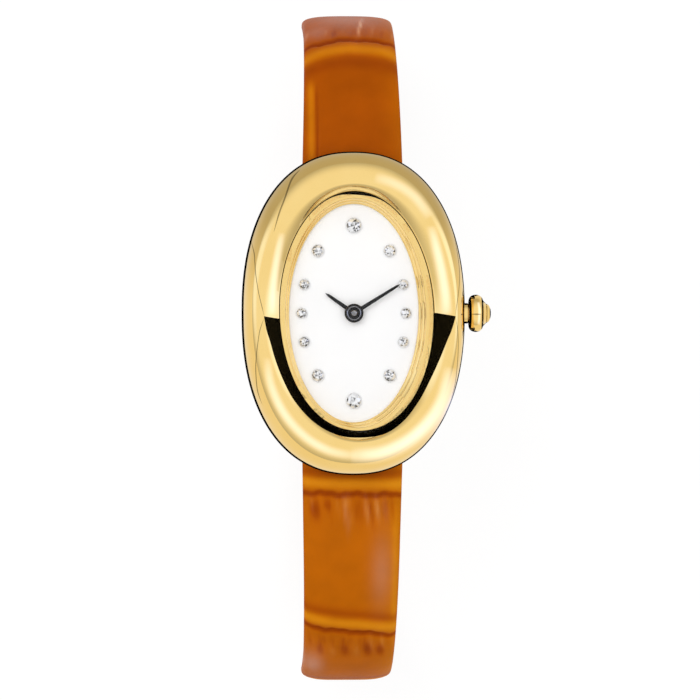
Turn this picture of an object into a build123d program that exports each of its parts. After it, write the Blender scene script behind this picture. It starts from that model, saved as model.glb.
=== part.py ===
from build123d import *
import math
import os

# An oval ladies' wristwatch, closed on its strap and lying on its buckle side.
# X points to the crown at 3 o'clock, Y to 12 o'clock and Z up out of the dial.
# Z is 0 at the surface that the keepers and buckle rest on, under the middle of the dial.

# The bezel's opening, and the steps and walls outside it from which the case takes its outlines
opening_width = 16.0
opening_length = 25.1
opening_shift = 0.26
oval_fullness = 1.14
case_fullness = 1.34
end_radius_share = 0.96
rim_side_slope = 1.75
rim_end_slope = 0.75
bore_side_step = 0.25
bore_end_step = 0.25
side_wall = 3.25
end_wall = 0.76
bar_cover = 2.3
under_side_step = 0.8
under_end_step = 2.35
widest_height = 2.4
shoulder_fullness = 2.5
crest_rise = 0.85
rim_depth = 0.5
ledge_thick = 0.3
ledge_width = 0.55
skin_sections = 4
under_sections = 2

# Heights inside the case, from the case back's outer face
back_thick = 0.55
train_room = 2.15
plate_thick = 0.75
motion_room = 0.65
dial_thick = 0.4
rehaut_height = 1.1

# Back, glass, dial and stepped ring
back_side_flange = 1.25
back_end_flange = 0.65
snap_rim_height = 0.7
snap_rim_wall = 0.6
back_gasket_thick = 0.3
gasket_wall = 0.2
bore_sides = 32
crystal_edge = 0.5
crystal_gap = 0.05
crystal_dome = 0.35
dial_inset = 1.35
rehaut_steps = 3
rehaut_lip = 0.3
fit_gap = 0.08
foot_radius = 0.35
foot_length = 1.0
foot_x = 4.3
foot_y = 4.6

# Hour stones and their settings
twelve_stone_radius = 0.72
corner_stone_radius = 0.58
side_stone_radius = 0.5
twelve_stone_share = 0.8036
three_stone_share = 0.8045
corner_stone_shares = (0.5564, 0.5714)
side_stone_shares = (0.7639, 0.2634)
stone_sides = 8
stone_height = 0.42
table_share = 0.58
setting_wall = 0.09
setting_height = 0.2

# Hands
minute_hand_margin = 1.09
hour_hand_margin = 3.1
hand_width = 0.46
hand_tip_width = 0.1
hour_hand_thick = 0.15
minute_hand_thick = 0.14
hour_angle = 305.0
minute_angle = 58.0
hour_hub_radius = 0.93
minute_hub_radius = 0.97
hour_hand_lift = 0.27
hand_gap = 0.18
hand_seat_radius = 0.3
hand_seat_dome = 0.12

# Motion works and going train
pipe_radius = 0.72
cannon_radius = 0.42
arbor_radius = 0.2
pivot_radius = 0.12
pivot_length = 0.26
run_gap = 0.04
side_gap = 0.06
wheel_thick = 0.15
pinion_thick = 0.26
train_module = 0.08
motion_module = 0.12
cannon_teeth = 10
minute_wheel_teeth = 30
minute_pinion_teeth = 8
hour_wheel_teeth = 32
centre_teeth = 60
small_pinion_teeth = 6
intermediate_teeth = 54
minute_wheel_angle = -40.0
intermediate_angle = 128.0
rotor_angle = 150.0
root_share = 0.3
addendum_share = 0.9
dedendum_share = 1.1
magnet_radius = 0.6
magnet_height = 0.5

# Movement frame, battery and electric parts
ring_side = 2.25
plate_length = 15.7
plate_centre_y = -1.05
plate_corner = 2.5
ring_wall = 0.5
bridge_thick = 0.3
bridge_low = 1.3
screw_radius = 0.24
screw_head_radius = 0.5
screw_head_height = 0.22
screw_reach = 0.5
pillar_radius = 0.45
pillar_shares = [(0.22, 0.42), (-0.37, 0.415), (0.22, 0.17)]
bridge_shares = [
    (-0.43, 0.515),
    (0.28, 0.515),
    (0.3, 0.07),
    (0.05, -0.075),
    (-0.1, -0.075),
    (-0.43, 0.18),
]
battery_radius = 2.9
battery_height = 2.1
battery_y = -5.6
battery_step = 0.25
battery_low = 1.15
clamp_thick = 0.15
clamp_width = 1.6
clamp_reach = 5.2
coil_radius = 0.7
coil_length = 6.2
coil_edge = 1.25
coil_y = -4.0
core_width = 0.6
core_thick = 0.3
core_overhang = 0.75
stator_thick = 0.25
stator_ring = 1.3
stator_gap = 0.12
stator_arm = 0.4
quartz_radius = 0.7
quartz_length = 5.0
quartz_offset = 0.15
quartz_y = -5.2
board_thick = 0.2
board_width = 2.6
board_length = 12.0
board_low = 1.0
board_edge = 1.45
board_y = -0.6
ring_height = 1.6

# Winding stem, clutch and setting lever, along X from the middle of the dial
stem_height = 3.05
stem_radius = 0.45
stem_square = 0.56
stem_pilot_radius = 0.22
pilot_start = 2.7
square_start = 3.0
square_end = 4.9
groove_start = 5.05
groove_width = 0.34
groove_radius = 0.27
crown_travel = 0.8
clutch_start = 3.85
clutch_length = 0.75
clutch_radius = 0.62
clutch_teeth = 10
clutch_tooth_depth = 0.14
clutch_neck_width = 0.25
lever_thick = 0.25
lever_width = 0.5
lever_eye_radius = 0.5
lever_post_radius = 0.25
lever_arm = 1.9
lever_pin_radius = 0.12
lever_drop = 0.3

# Crown and its tube
tube_radius = 0.8
tube_proud = 1.4
collar_radius = 1.05
collar_sunk = 0.2
collar_proud = 0.35
crown_gap = 0.06
bun_radius = 1.92
bun_length = 1.45
bun_face_radius = 1.4
bun_bands = 4
shoulder_radius = 1.15
shoulder_length = 0.36
cap_radius = 0.95
cap_face_radius = 0.55
cap_length = 0.48
crown_bore_room = 0.2
stem_grip = 0.45
crown_gasket_room = 0.2
crown_gasket_length = 0.35
crown_gasket_radius = 1.1

# Strap and its bars
bar_rise = 1.5
bar_radius = 0.65
bar_tip_radius = 0.35
bar_tip_length = 0.5
bar_hole_gap = 0.07
tip_gap = 0.03
eye_radius = 1.22
lug_gap = 0.12
strap_inset = 2.8
bend_taper = 0.9
end_taper = 1.5
strap_side_gap = 0.2
lining_thick = 0.8
upper_thick = 1.3
strap_slope = 12.0
short_first_run = 3.05
long_first_run = 10.4
shoulder_bend = 17.0
short_low_bend = 11.0
tail_end_y = 16.5
tail_round = 4.0
layer_gap = 0.2
hole_width = 1.4
hole_length = 2.1
hole_corner = 0.2
hole_pitch = 6.0
hole_count = 3

# Buckle and keepers
buckle_bar_y = -6.6
crossbar_thick = 1.2
crossbar_width = 1.6
crossbar_y = -12.5
crossbar_edge = 0.3
tail_clear = 0.15
arm_width = 1.2
arm_gap = 0.25
arm_end_radius = 1.0
arm_waist = 1.35
notch_depth = 0.7
tongue_thick = 0.6
tongue_width = 1.1
tongue_eye_radius = 1.1
tongue_side_gap = 0.12
keeper_wall = 1.0
keeper_gap = 0.15
keeper_corner = 0.7
fixed_keeper_width = 4.0
free_keeper_width = 3.4
free_keeper_y = 8.0

# Rounds up to this radius are hidden or tiny, and have flat sides in place of a full circle
small_radius = 0.75
small_sides = 12

# Cuts run this far past the faces they open
overrun = 1.0

# Worked-out outlines, from the opening outwards
crest_width = opening_width + 2 * rim_side_slope
crest_length = opening_length + 2 * rim_end_slope
bore_width = opening_width + 2 * bore_side_step
bore_length = opening_length - 2 * bore_end_step
back_width = bore_width + 2 * back_side_flange
back_length = bore_length + 2 * back_end_flange
under_width = back_width + 2 * under_side_step
under_length = back_length + 2 * under_end_step
bar_y = bore_length / 2 + end_wall + lug_gap + eye_radius
case_width = bore_width + 2 * side_wall
case_length = 2 * (bar_y + bar_cover)
dial_open_width = opening_width - 2 * dial_inset
dial_open_length = opening_length - 2 * dial_inset
minute_hand_length = dial_open_width / 2 - minute_hand_margin
hour_hand_length = dial_open_width / 2 - hour_hand_margin

strap_width_case = opening_width - 2 * strap_inset
strap_width_bend = strap_width_case - bend_taper
strap_width_end = strap_width_bend - end_taper
plate_width = bore_width - 2 * ring_side
coil_x = coil_edge - plate_width / 2
board_x = plate_width / 2 - board_edge
quartz_x = board_x + quartz_offset

# Worked-out places along the crown's axis
collar_start = case_width / 2 - collar_sunk
collar_end = case_width / 2 + collar_proud
tube_end = case_width / 2 + tube_proud
crown_start = collar_end + crown_gap
crown_gasket_start = collar_end + crown_gasket_room
crown_bore_end = tube_end + crown_bore_room
stem_end = crown_bore_end + stem_grip
cap_start = crown_start + bun_length + shoulder_length
crown_end = cap_start + cap_length

# Worked-out heights of the strap's layers under the wrist, and of the case above them
strap_thick = lining_thick + upper_thick
glue_line = lining_thick - strap_thick / 2
tail_middle = crossbar_thick + tail_clear + strap_thick / 2
short_middle = tail_middle + strap_thick + layer_gap
slope = math.radians(strap_slope)
bar_height = (
    short_middle
    + short_low_bend
    + shoulder_bend * math.cos(slope)
    + short_first_run * math.sin(slope)
)
long_low_bend = (
    bar_height
    - tail_middle
    - shoulder_bend * math.cos(slope)
    - long_first_run * math.sin(slope)
)
case_base = bar_height - bar_rise

# Worked-out heights inside the case, in the part's own frame
back_top = case_base + back_thick
plate_low = back_top + train_room
plate_top = plate_low + plate_thick
dial_low = plate_top + motion_room
dial_top = dial_low + dial_thick
ledge_low = dial_top + rehaut_height
crystal_seat = ledge_low + ledge_thick
rim_top = crystal_seat + rim_depth
crest_top = rim_top + crest_rise
stem_z = case_base + stem_height
stone_top = dial_top + stone_height
hour_hand_low = dial_top + hour_hand_lift
minute_hand_low = hour_hand_low + hour_hand_thick + hand_gap
minute_hand_top = minute_hand_low + minute_hand_thick


def oval_face(width, length, height, fullness=oval_fullness, shift=0):
    """A flat oval of four arcs, shifted to the crown side.

    Its end arcs have fullness times the end radius of an ellipse of that width and length,
    and stay tighter than its half width.
    """
    half_width = width / 2
    half_length = length / 2
    end_radius = min(fullness * half_width / half_length, end_radius_share) * half_width
    end_y = half_length - end_radius
    side_radius = (half_width**2 + end_y**2 - end_radius**2) / (2 * (half_width - end_radius))
    side_x = half_width - side_radius
    turn = math.atan2(end_y, -side_x)
    join_x = side_x + side_radius * math.cos(turn)
    join_y = side_radius * math.sin(turn)
    outline = [
        ThreePointArc((join_x, -join_y), (half_width, 0), (join_x, join_y)),
        ThreePointArc((join_x, join_y), (0, half_length), (-join_x, join_y)),
        ThreePointArc((-join_x, join_y), (-half_width, 0), (-join_x, -join_y)),
        ThreePointArc((-join_x, -join_y), (0, -half_length), (join_x, -join_y)),
    ]
    return Pos(shift, 0, height) * make_face(outline)


def oval_plate(width, length, low, high, shift=0):
    """A plate with an upright oval edge."""
    return extrude(oval_face(width, length, low, shift=shift), amount=high - low)


def opening_plate(inset, low, high):
    """A plate the shape of the bezel's opening, its edge drawn in by inset."""
    return oval_plate(
        opening_width - 2 * inset,
        opening_length - 2 * inset,
        low,
        high,
        shift=opening_shift,
    )


def bore_plate(inset, low, high):
    """A plate the shape of the case's hidden bore, with flat sides, its edge drawn in by inset."""
    points = []
    for side in range(bore_sides):
        turn = 2 * math.pi * side / bore_sides
        points.append(
            ((bore_width / 2 - inset) * math.cos(turn), (bore_length / 2 - inset) * math.sin(turn))
        )
    outline = make_face(Polyline(*points, close=True))
    return Pos(0, 0, low) * extrude(outline, amount=high - low)


def round_face(radius):
    """A circle, or a flat-sided outline for a small round."""
    if radius > small_radius:
        return Circle(radius)
    return RegularPolygon(radius, small_sides)


def disc(radius, low, high, x=0, y=0):
    """A round plate or pin that stands along Z."""
    return Pos(x, y, low) * extrude(round_face(radius), amount=high - low)


def block(low_corner, high_corner):
    """A box between two corners."""
    sizes = [high - low for low, high in zip(low_corner, high_corner)]
    middle = [(high + low) / 2 for low, high in zip(low_corner, high_corner)]
    return Pos(*middle) * Box(*sizes)


def rod(radius, start, end, height, y=0):
    """A round bar along X."""
    return Pos(start, y, height) * extrude(Plane.YZ * round_face(radius), amount=end - start)


def polar(distance, degrees):
    """X and Y at a distance and an angle from the X axis."""
    turn = math.radians(degrees)
    return distance * math.cos(turn), distance * math.sin(turn)


# The train's axes
minute_wheel_x, minute_wheel_y = polar(
    motion_module * (cannon_teeth + minute_wheel_teeth) / 2, minute_wheel_angle
)
intermediate_x, intermediate_y = polar(
    train_module * (centre_teeth + small_pinion_teeth) / 2, intermediate_angle
)
rotor_dx, rotor_dy = polar(
    train_module * (intermediate_teeth + small_pinion_teeth) / 2, rotor_angle
)
rotor_x = intermediate_x + rotor_dx
rotor_y = intermediate_y + rotor_dy
bridge_top = case_base + bridge_low + bridge_thick
pillar_places = [
    (plate_width * across, plate_centre_y + plate_length * along) for across, along in pillar_shares
]


def toothed_disc(teeth, module, low, high, x, y, first_tooth):
    """A wheel or pinion with pointed teeth, one of them centred on the angle first_tooth."""
    pitch_radius = teeth * module / 2
    tip_radius = pitch_radius + addendum_share * module
    root_radius = pitch_radius - dedendum_share * module
    pitch_turn = 360 / teeth
    points = []
    for tooth in range(teeth):
        middle = first_tooth + tooth * pitch_turn
        points.append(polar(root_radius, middle - root_share * pitch_turn))
        points.append(polar(tip_radius, middle))
        points.append(polar(root_radius, middle + root_share * pitch_turn))
    outline = make_face(Polyline(*points, close=True))
    return Pos(x, y, low) * extrude(outline, amount=high - low)


def make_case():
    """The gold case: one oval skin that swells to its widest line and domes to a crest."""
    under_z = back_top
    widest_z = case_base + widest_height
    power = 2 / shoulder_fullness
    sections = []
    for step in range(under_sections):
        turn = math.pi / 2 * step / under_sections
        out = math.sin(turn) ** power
        rise = 1 - math.cos(turn) ** power
        width = under_width + (case_width - under_width) * out
        length = under_length + (case_length - under_length) * out
        height = under_z + (widest_z - under_z) * rise
        sections.append(oval_face(width, length, height, case_fullness))
    for step in range(skin_sections + 1):
        turn = math.pi / 2 * step / skin_sections
        out = max(math.cos(turn), 0) ** power
        rise = math.sin(turn) ** power
        width = crest_width + (case_width - crest_width) * out
        length = crest_length + (case_length - crest_length) * out
        height = widest_z + (crest_top - widest_z) * rise
        fullness = oval_fullness + (case_fullness - oval_fullness) * out
        sections.append(oval_face(width, length, height, fullness))
    body = loft(sections, ruled=True)

    crest = oval_face(crest_width, crest_length, crest_top)
    rim = oval_face(opening_width, opening_length, rim_top, shift=opening_shift)
    body -= loft([rim, crest], ruled=True)
    body -= opening_plate(0, crystal_seat, rim_top)
    body -= opening_plate(ledge_width, ledge_low, crystal_seat)
    body -= bore_plate(0, under_z - overrun, ledge_low)

    recess_half = strap_width_case / 2 + strap_side_gap
    recess_start = bore_length / 2 + end_wall
    recess_top = bar_height + eye_radius + lug_gap
    hole_end = recess_half + bar_tip_length + tip_gap
    for side in (-1, 1):
        ends = sorted((side * recess_start, side * (case_length / 2 + overrun)))
        body -= block((-recess_half, ends[0], under_z - overrun), (recess_half, ends[1], recess_top))
        body -= rod(bar_tip_radius + tip_gap, -hole_end, hole_end, bar_height, side * bar_y)

    body -= rod(tube_radius, 0, collar_start + overrun, stem_z)
    body -= rod(collar_radius, collar_start, collar_end, stem_z)
    return body


def make_case_back():
    """The pressed-in back: a flat oval plate with a rim that enters the case."""
    plate = oval_plate(back_width, back_length, case_base, back_top)
    rim_end = back_top + snap_rim_height
    rim = bore_plate(gasket_wall, back_top, rim_end)
    rim -= bore_plate(gasket_wall + snap_rim_wall, back_top, rim_end)
    return plate + rim


def make_back_gasket():
    """The flat rubber ring round the back's rim."""
    high = back_top + back_gasket_thick
    return bore_plate(0, back_top, high) - bore_plate(gasket_wall, back_top, high)


def make_crystal():
    """The oval glass: an upright edge, and a top that is curved along its length."""
    edge_top = crystal_seat + crystal_edge
    plate = opening_plate(crystal_gap, crystal_seat, edge_top + crystal_dome)
    half = opening_length / 2
    dome_radius = (half**2 + crystal_dome**2) / (2 * crystal_dome)
    centre_z = edge_top + crystal_dome - dome_radius
    return plate & rod(dome_radius, opening_shift - opening_width, opening_shift + opening_width, centre_z)


def make_rehaut_ring():
    """The gold ring between dial and glass: stepped lips that fall from the glass's ledge to the dial."""
    body = bore_plate(fit_gap, dial_top, ledge_low)
    outer_width = opening_width - 2 * ledge_width - 2 * rehaut_lip
    outer_length = opening_length - 2 * ledge_width - 2 * rehaut_lip
    for step in range(rehaut_steps):
        share = step / (rehaut_steps - 1)
        low = dial_top + (rehaut_height - rehaut_lip) * share
        if step == 0:
            low = dial_top - overrun
        body -= oval_plate(
            dial_open_width + (outer_width - dial_open_width) * share,
            dial_open_length + (outer_length - dial_open_length) * share,
            low,
            ledge_low + overrun,
            shift=opening_shift * share,
        )
    return body


def foot_places():
    """The dial's two feet stand at opposite corners."""
    return [(foot_x, foot_y), (-foot_x, -foot_y)]


def make_dial():
    """The white dial plate, with a centre hole and two soldered feet."""
    plate = bore_plate(fit_gap, dial_low, dial_top)
    plate -= disc(pipe_radius + 3 * run_gap, dial_low, dial_top)
    for x, y in foot_places():
        plate += disc(foot_radius, dial_low - foot_length, dial_low, x, y)
    return plate


def stone_places():
    """X, Y and radius of each hour stone, from 12 o'clock round."""
    spots = []
    for side in (1, -1):
        spots.append((0, side * twelve_stone_share, twelve_stone_radius))
        spots.append((side * three_stone_share, 0, side_stone_radius))
        for end in (1, -1):
            across, along = corner_stone_shares
            spots.append((side * across, end * along, corner_stone_radius))
            across, along = side_stone_shares
            spots.append((side * across, end * along, side_stone_radius))
    return [
        (dial_open_width / 2 * across, dial_open_length / 2 * along, radius)
        for across, along, radius in spots
    ]


def make_dial_stones():
    """Twelve clear cut stones: eight slanting faces round a flat table, each on its setting."""
    stones = []
    for x, y, radius in stone_places():
        rise = stone_height - setting_height
        drawn_in = radius * (1 - table_share) * math.cos(math.pi / stone_sides)
        stone = extrude(
            RegularPolygon(radius, stone_sides), rise, taper=math.degrees(math.atan2(drawn_in, rise))
        )
        stones.append(Pos(x, y, dial_top + setting_height) * stone)
    return Compound(children=stones)


def make_stone_settings():
    """Twelve small eight-sided settings that stand on the dial under the stones."""
    settings = []
    for x, y, radius in stone_places():
        setting = extrude(RegularPolygon(radius + setting_wall, stone_sides), amount=setting_height)
        settings.append(Pos(x, y, dial_top) * setting)
    return Compound(children=settings)


def hand_blade(length, low, thick, clock_angle):
    """A slim hand that tapers to a point, set clockwise from 12 o'clock."""
    outline = Polyline(
        (-hand_width / 2, 0),
        (-hand_tip_width / 2, length - hand_tip_width),
        (0, length),
        (hand_tip_width / 2, length - hand_tip_width),
        (hand_width / 2, 0),
        close=True,
    )
    return Pos(0, 0, low) * Rot(0, 0, -clock_angle) * extrude(make_face(outline), amount=thick)


def make_hour_hand():
    """The hour hand, pressed on the hour wheel's pipe."""
    high = hour_hand_low + hour_hand_thick
    hand = hand_blade(hour_hand_length, hour_hand_low, hour_hand_thick, hour_angle)
    hand += disc(hour_hub_radius, hour_hand_low, high)
    return hand - disc(pipe_radius, hour_hand_low, high)


def make_minute_hand():
    """The minute hand, pressed on the top of the cannon pinion."""
    hand = hand_blade(minute_hand_length, minute_hand_low, minute_hand_thick, minute_angle)
    hand += disc(minute_hub_radius, minute_hand_low, minute_hand_top)
    return hand - disc(hand_seat_radius, minute_hand_low, minute_hand_top)


def make_centre_wheel():
    """Centre wheel, arbor and cannon pinion, which turn together once an hour."""
    wheel_low = plate_low - side_gap - wheel_thick - pinion_thick / 2
    body = toothed_disc(
        centre_teeth, train_module, wheel_low, wheel_low + wheel_thick, 0, 0, intermediate_angle
    )
    body += disc(pivot_radius, bridge_top - pivot_length, bridge_top + side_gap)
    body += disc(arbor_radius, bridge_top + side_gap, plate_top + side_gap)
    cannon_low = plate_top + side_gap
    cannon_high = cannon_low + wheel_thick + side_gap
    body += toothed_disc(
        cannon_teeth, motion_module, cannon_low, cannon_high, 0, 0, minute_wheel_angle
    )
    body += disc(cannon_radius, cannon_high, minute_hand_low)
    body += disc(hand_seat_radius, minute_hand_low, minute_hand_top + hand_seat_dome)
    return body


def make_minute_wheel():
    """The minute wheel and its pinion, on a stud of the main plate."""
    low = plate_top + side_gap
    wheel_high = low + wheel_thick
    gap_turn = minute_wheel_angle + 180 + 180 / minute_wheel_teeth
    wheel = toothed_disc(
        minute_wheel_teeth, motion_module, low, wheel_high, minute_wheel_x, minute_wheel_y, gap_turn
    )
    module = motion_module * (cannon_teeth + minute_wheel_teeth)
    module /= minute_pinion_teeth + hour_wheel_teeth
    high = hour_wheel_low() + wheel_thick
    wheel += toothed_disc(
        minute_pinion_teeth,
        module,
        wheel_high,
        high,
        minute_wheel_x,
        minute_wheel_y,
        minute_wheel_angle + 180,
    )
    return wheel - disc(pivot_radius + run_gap, low, high, minute_wheel_x, minute_wheel_y)


def hour_wheel_low():
    """The hour wheel runs just over the cannon pinion's teeth and under the dial."""
    return plate_top + 3 * side_gap + wheel_thick + side_gap


def make_hour_wheel():
    """The hour wheel and the pipe that carries the hour hand."""
    low = hour_wheel_low()
    module = motion_module * (cannon_teeth + minute_wheel_teeth)
    module /= minute_pinion_teeth + hour_wheel_teeth
    gap_turn = minute_wheel_angle + 180 / hour_wheel_teeth
    body = toothed_disc(hour_wheel_teeth, module, low, low + wheel_thick, 0, 0, gap_turn)
    top = hour_hand_low + hour_hand_thick
    body += disc(pipe_radius, low + wheel_thick, top)
    return body - disc(cannon_radius + run_gap, low, top)


def make_intermediate_wheel():
    """Intermediate wheel and pinion, between the rotor and the centre wheel."""
    x, y = intermediate_x, intermediate_y
    wheel_low = bridge_top + 3 * side_gap
    pinion_high = plate_low - 2 * side_gap
    body = disc(pivot_radius, bridge_top - pivot_length, plate_low + pivot_length, x, y)
    body += toothed_disc(
        intermediate_teeth, train_module, wheel_low, wheel_low + wheel_thick, x, y, rotor_angle
    )
    gap_turn = intermediate_angle + 180 + 180 / small_pinion_teeth
    pinion_low = plate_low - side_gap - wheel_thick - pinion_thick
    body += toothed_disc(
        small_pinion_teeth, train_module, pinion_low, pinion_high, x, y, gap_turn
    )
    return body


def rotor_magnet_low():
    """The magnet stands level with the stator."""
    return plate_low - 3 * side_gap - magnet_height


def make_rotor():
    """The stepping motor's rotor: a round magnet over a six-leaf pinion."""
    low = rotor_magnet_low()
    body = disc(pivot_radius, bridge_top - pivot_length, plate_low + pivot_length, rotor_x, rotor_y)
    body += disc(magnet_radius, low, low + magnet_height, rotor_x, rotor_y)
    gap_turn = rotor_angle + 180 + 180 / small_pinion_teeth
    pinion_low = bridge_top + 2 * side_gap
    body += toothed_disc(
        small_pinion_teeth, train_module, pinion_low, low, rotor_x, rotor_y, gap_turn
    )
    return body


def plate_outline(grow, low, high):
    """The movement's oblong outline within the bore's wall, its edge moved out by grow."""
    outline = RectangleRounded(plate_width + 2 * grow, plate_length + 2 * grow, plate_corner + grow)
    plate = Pos(0, plate_centre_y, low) * extrude(outline, amount=high - low)
    return plate & bore_plate(ring_wall - grow, low, high)


def lever_pivot():
    """The setting lever turns on a post beside the stem, level with the middle of the crown's travel."""
    return groove_start + groove_width / 2 + crown_travel / 2, -lever_arm


def make_main_plate():
    """The movement's main plate, with its stud, its post and the holes of the train."""
    plate = plate_outline(0, plate_low, plate_top)
    plate -= disc(battery_radius + fit_gap, plate_low, plate_top, 0, battery_y)
    plate -= disc(arbor_radius + run_gap, plate_low, plate_top)
    pivot_top = plate_low + pivot_length + run_gap
    for x, y in ((intermediate_x, intermediate_y), (rotor_x, rotor_y)):
        plate -= disc(pivot_radius + run_gap, plate_low, pivot_top, x, y)
    for x, y in foot_places():
        plate -= disc(foot_radius, plate_low, plate_top, x, y)
    for x, y in pillar_places:
        plate -= disc(screw_radius, plate_low, plate_low + screw_reach, x, y)
    plate -= rod(stem_radius + run_gap, pilot_start - side_gap, plate_width, stem_z)
    clutch_half = clutch_radius + 2 * run_gap
    clutch_end = clutch_start + clutch_length + side_gap
    plate -= block(
        (clutch_start - side_gap, -clutch_half, plate_low - overrun),
        (clutch_end, clutch_half, plate_top + overrun),
    )
    plate -= block(
        (groove_start - side_gap, -lever_pin_radius * 2, plate_low - overrun),
        (
            groove_start + groove_width + crown_travel + side_gap,
            lever_pin_radius * 2,
            plate_low + lever_drop,
        ),
    )
    stud_top = hour_wheel_low() + wheel_thick
    plate += disc(pivot_radius, plate_top, stud_top, minute_wheel_x, minute_wheel_y)
    post_x, post_y = lever_pivot()
    post_low = plate_low - lever_drop - lever_thick
    plate += disc(lever_post_radius, post_low, plate_low, post_x, post_y)
    return plate


def make_train_bridge():
    """The bridge under the train, on three pillars."""
    low = bridge_top - bridge_thick
    corners = [(plate_width * across, plate_width * along) for across, along in bridge_shares]
    face = make_face(Polyline(*corners, close=True))
    face = fillet(face.vertices(), pillar_radius)
    bridge = Pos(0, 0, low) * extrude(face, amount=bridge_thick)
    for x, y in pillar_places:
        bridge += disc(pillar_radius, bridge_top, plate_low, x, y)
        bridge -= disc(screw_radius, low, plate_low, x, y)
    for x, y in ((0, 0), (intermediate_x, intermediate_y), (rotor_x, rotor_y)):
        bridge -= disc(pivot_radius + run_gap, low, bridge_top, x, y)
    return bridge


def make_movement_screws():
    """The three screws that hold the bridge."""
    screws = []
    head_high = bridge_top - bridge_thick
    for x, y in pillar_places:
        screw = disc(screw_radius, head_high, plate_low + screw_reach, x, y)
        screw += disc(screw_head_radius, head_high - screw_head_height, head_high, x, y)
        screws.append(screw)
    return Compound(children=screws)


def make_movement_ring():
    """The plastic spacer that centres the oblong movement in the oval case."""
    high = dial_low - fit_gap
    low = high - ring_height
    ring = bore_plate(fit_gap, low, high)
    ring -= plate_outline(fit_gap, low, high)
    return ring - rod(tube_radius, 0, bore_width / 2 + overrun, stem_z)


def make_battery():
    """The silver button cell, with its narrower cap towards the dial."""
    low = case_base + battery_low
    high = low + battery_height
    cell = disc(battery_radius, low, high - battery_step, 0, battery_y)
    return cell + disc(battery_radius - battery_step, high - battery_step, high, 0, battery_y)


def make_battery_clamp():
    """The springy strip across the cell, with a leg up to the main plate."""
    high = case_base + battery_low
    low = high - clamp_thick
    end = plate_centre_y - plate_length / 2
    half = clamp_width / 2
    strip = block((-half, end, low), (half, end + clamp_reach, high))
    return strip + block((-half, end, low), (half, end + clamp_thick, plate_low))


def core_low():
    """The coil's core lies half-way between the back and the main plate's underside."""
    return plate_low - coil_radius - core_thick / 2


def make_coil_core():
    """The flat iron core through the coil."""
    reach = coil_length / 2 + core_overhang
    half = core_width / 2
    low = core_low()
    return block((coil_x - half, coil_y - reach, low), (coil_x + half, coil_y + reach, low + core_thick))


def make_coil_winding():
    """The round winding on the core."""
    winding = Pos(coil_x, coil_y, plate_low - coil_radius) * Rot(90, 0, 0) * Cylinder(
        coil_radius - run_gap, coil_length
    )
    return winding - make_coil_core()


def make_stator():
    """The stator: an iron ring round the rotor with an arm to each end of the core."""
    low = core_low() + core_thick
    high = low + stator_thick
    near_end = coil_y + coil_length / 2
    far_end = coil_y - coil_length / 2
    half = core_width / 2
    side_x = coil_x - coil_radius - stator_arm
    body = disc(stator_ring, low, high, rotor_x, rotor_y)
    body += block((coil_x - half, near_end, low), (coil_x + half, rotor_y, high))
    body += block((side_x, far_end - core_overhang, low), (side_x + stator_arm, rotor_y, high))
    body += block((side_x, rotor_y - core_width, low), (rotor_x, rotor_y, high))
    foot_low = far_end - core_overhang
    body += block((side_x, foot_low, low), (coil_x + half, foot_low + core_overhang - fit_gap, high))
    return body - disc(magnet_radius + stator_gap, low, high, rotor_x, rotor_y)


def make_circuit_board():
    """The thin circuit board on the crown side."""
    low = case_base + board_low
    board = RectangleRounded(board_width, board_length, pillar_radius)
    return Pos(board_x, board_y, low) * extrude(board, amount=board_thick)


def make_quartz_can():
    """The quartz crystal in its round can, lying on the board."""
    axis_z = case_base + board_low + board_thick + quartz_radius
    return Pos(quartz_x, quartz_y, axis_z) * Rot(90, 0, 0) * Cylinder(quartz_radius, quartz_length)


def make_stem():
    """The stem: pilot, square for the clutch, groove for the lever, and a long round shank."""
    stem = rod(stem_pilot_radius, pilot_start, square_start, stem_z)
    half = stem_square / 2
    stem += block((square_start, -half, stem_z - half), (square_end, half, stem_z + half))
    stem += rod(stem_radius, square_end, groove_start, stem_z)
    stem += rod(groove_radius, groove_start, groove_start + groove_width, stem_z)
    stem += rod(stem_radius, groove_start + groove_width, stem_end, stem_z)
    return stem


def make_clutch_pinion():
    """The sliding pinion: toothed, with a neck and a square hole that the stem turns."""
    outline = Polyline(
        *[
            polar(clutch_radius - clutch_tooth_depth * (corner % 2), 180 * corner / clutch_teeth)
            for corner in range(2 * clutch_teeth)
        ],
        close=True,
    )
    toothed = clutch_length - clutch_neck_width
    body = extrude(Plane.YZ * make_face(outline), amount=toothed)
    body = Pos(clutch_start, 0, stem_z) * body
    neck_end = clutch_start + clutch_length
    body += rod(clutch_radius - clutch_tooth_depth, clutch_start + toothed, neck_end, stem_z)
    half = stem_square / 2 + run_gap
    return body - block(
        (clutch_start - overrun, -half, stem_z - half), (neck_end + overrun, half, stem_z + half)
    )


def make_setting_lever():
    """The setting lever: an eye on its post and a pin that stands in the stem's groove."""
    post_x, post_y = lever_pivot()
    pin_x = groove_start + groove_width / 2
    high = plate_low - lever_drop
    low = high - lever_thick
    lean = math.degrees(math.atan2(post_x - pin_x, lever_arm))
    reach = math.hypot(post_x - pin_x, lever_arm)
    arm = Pos(post_x, post_y, low) * Rot(0, 0, lean) * extrude(
        Pos(0, reach / 2) * SlotCenterToCenter(reach, lever_width, rotation=90), amount=lever_thick
    )
    arm += disc(lever_eye_radius, low, high, post_x, post_y)
    arm += disc(lever_pin_radius, high, stem_z - groove_radius - run_gap, pin_x, 0)
    return arm - disc(lever_post_radius + run_gap, low, high, post_x, post_y)


def make_case_tube():
    """The crown's tube, pressed into the case, with the collar that shows between case and crown."""
    tube = rod(tube_radius, bore_width / 2, tube_end, stem_z)
    tube += rod(collar_radius, collar_start, collar_end, stem_z)
    return tube - rod(stem_radius + run_gap, 0, tube_end, stem_z)


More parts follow.
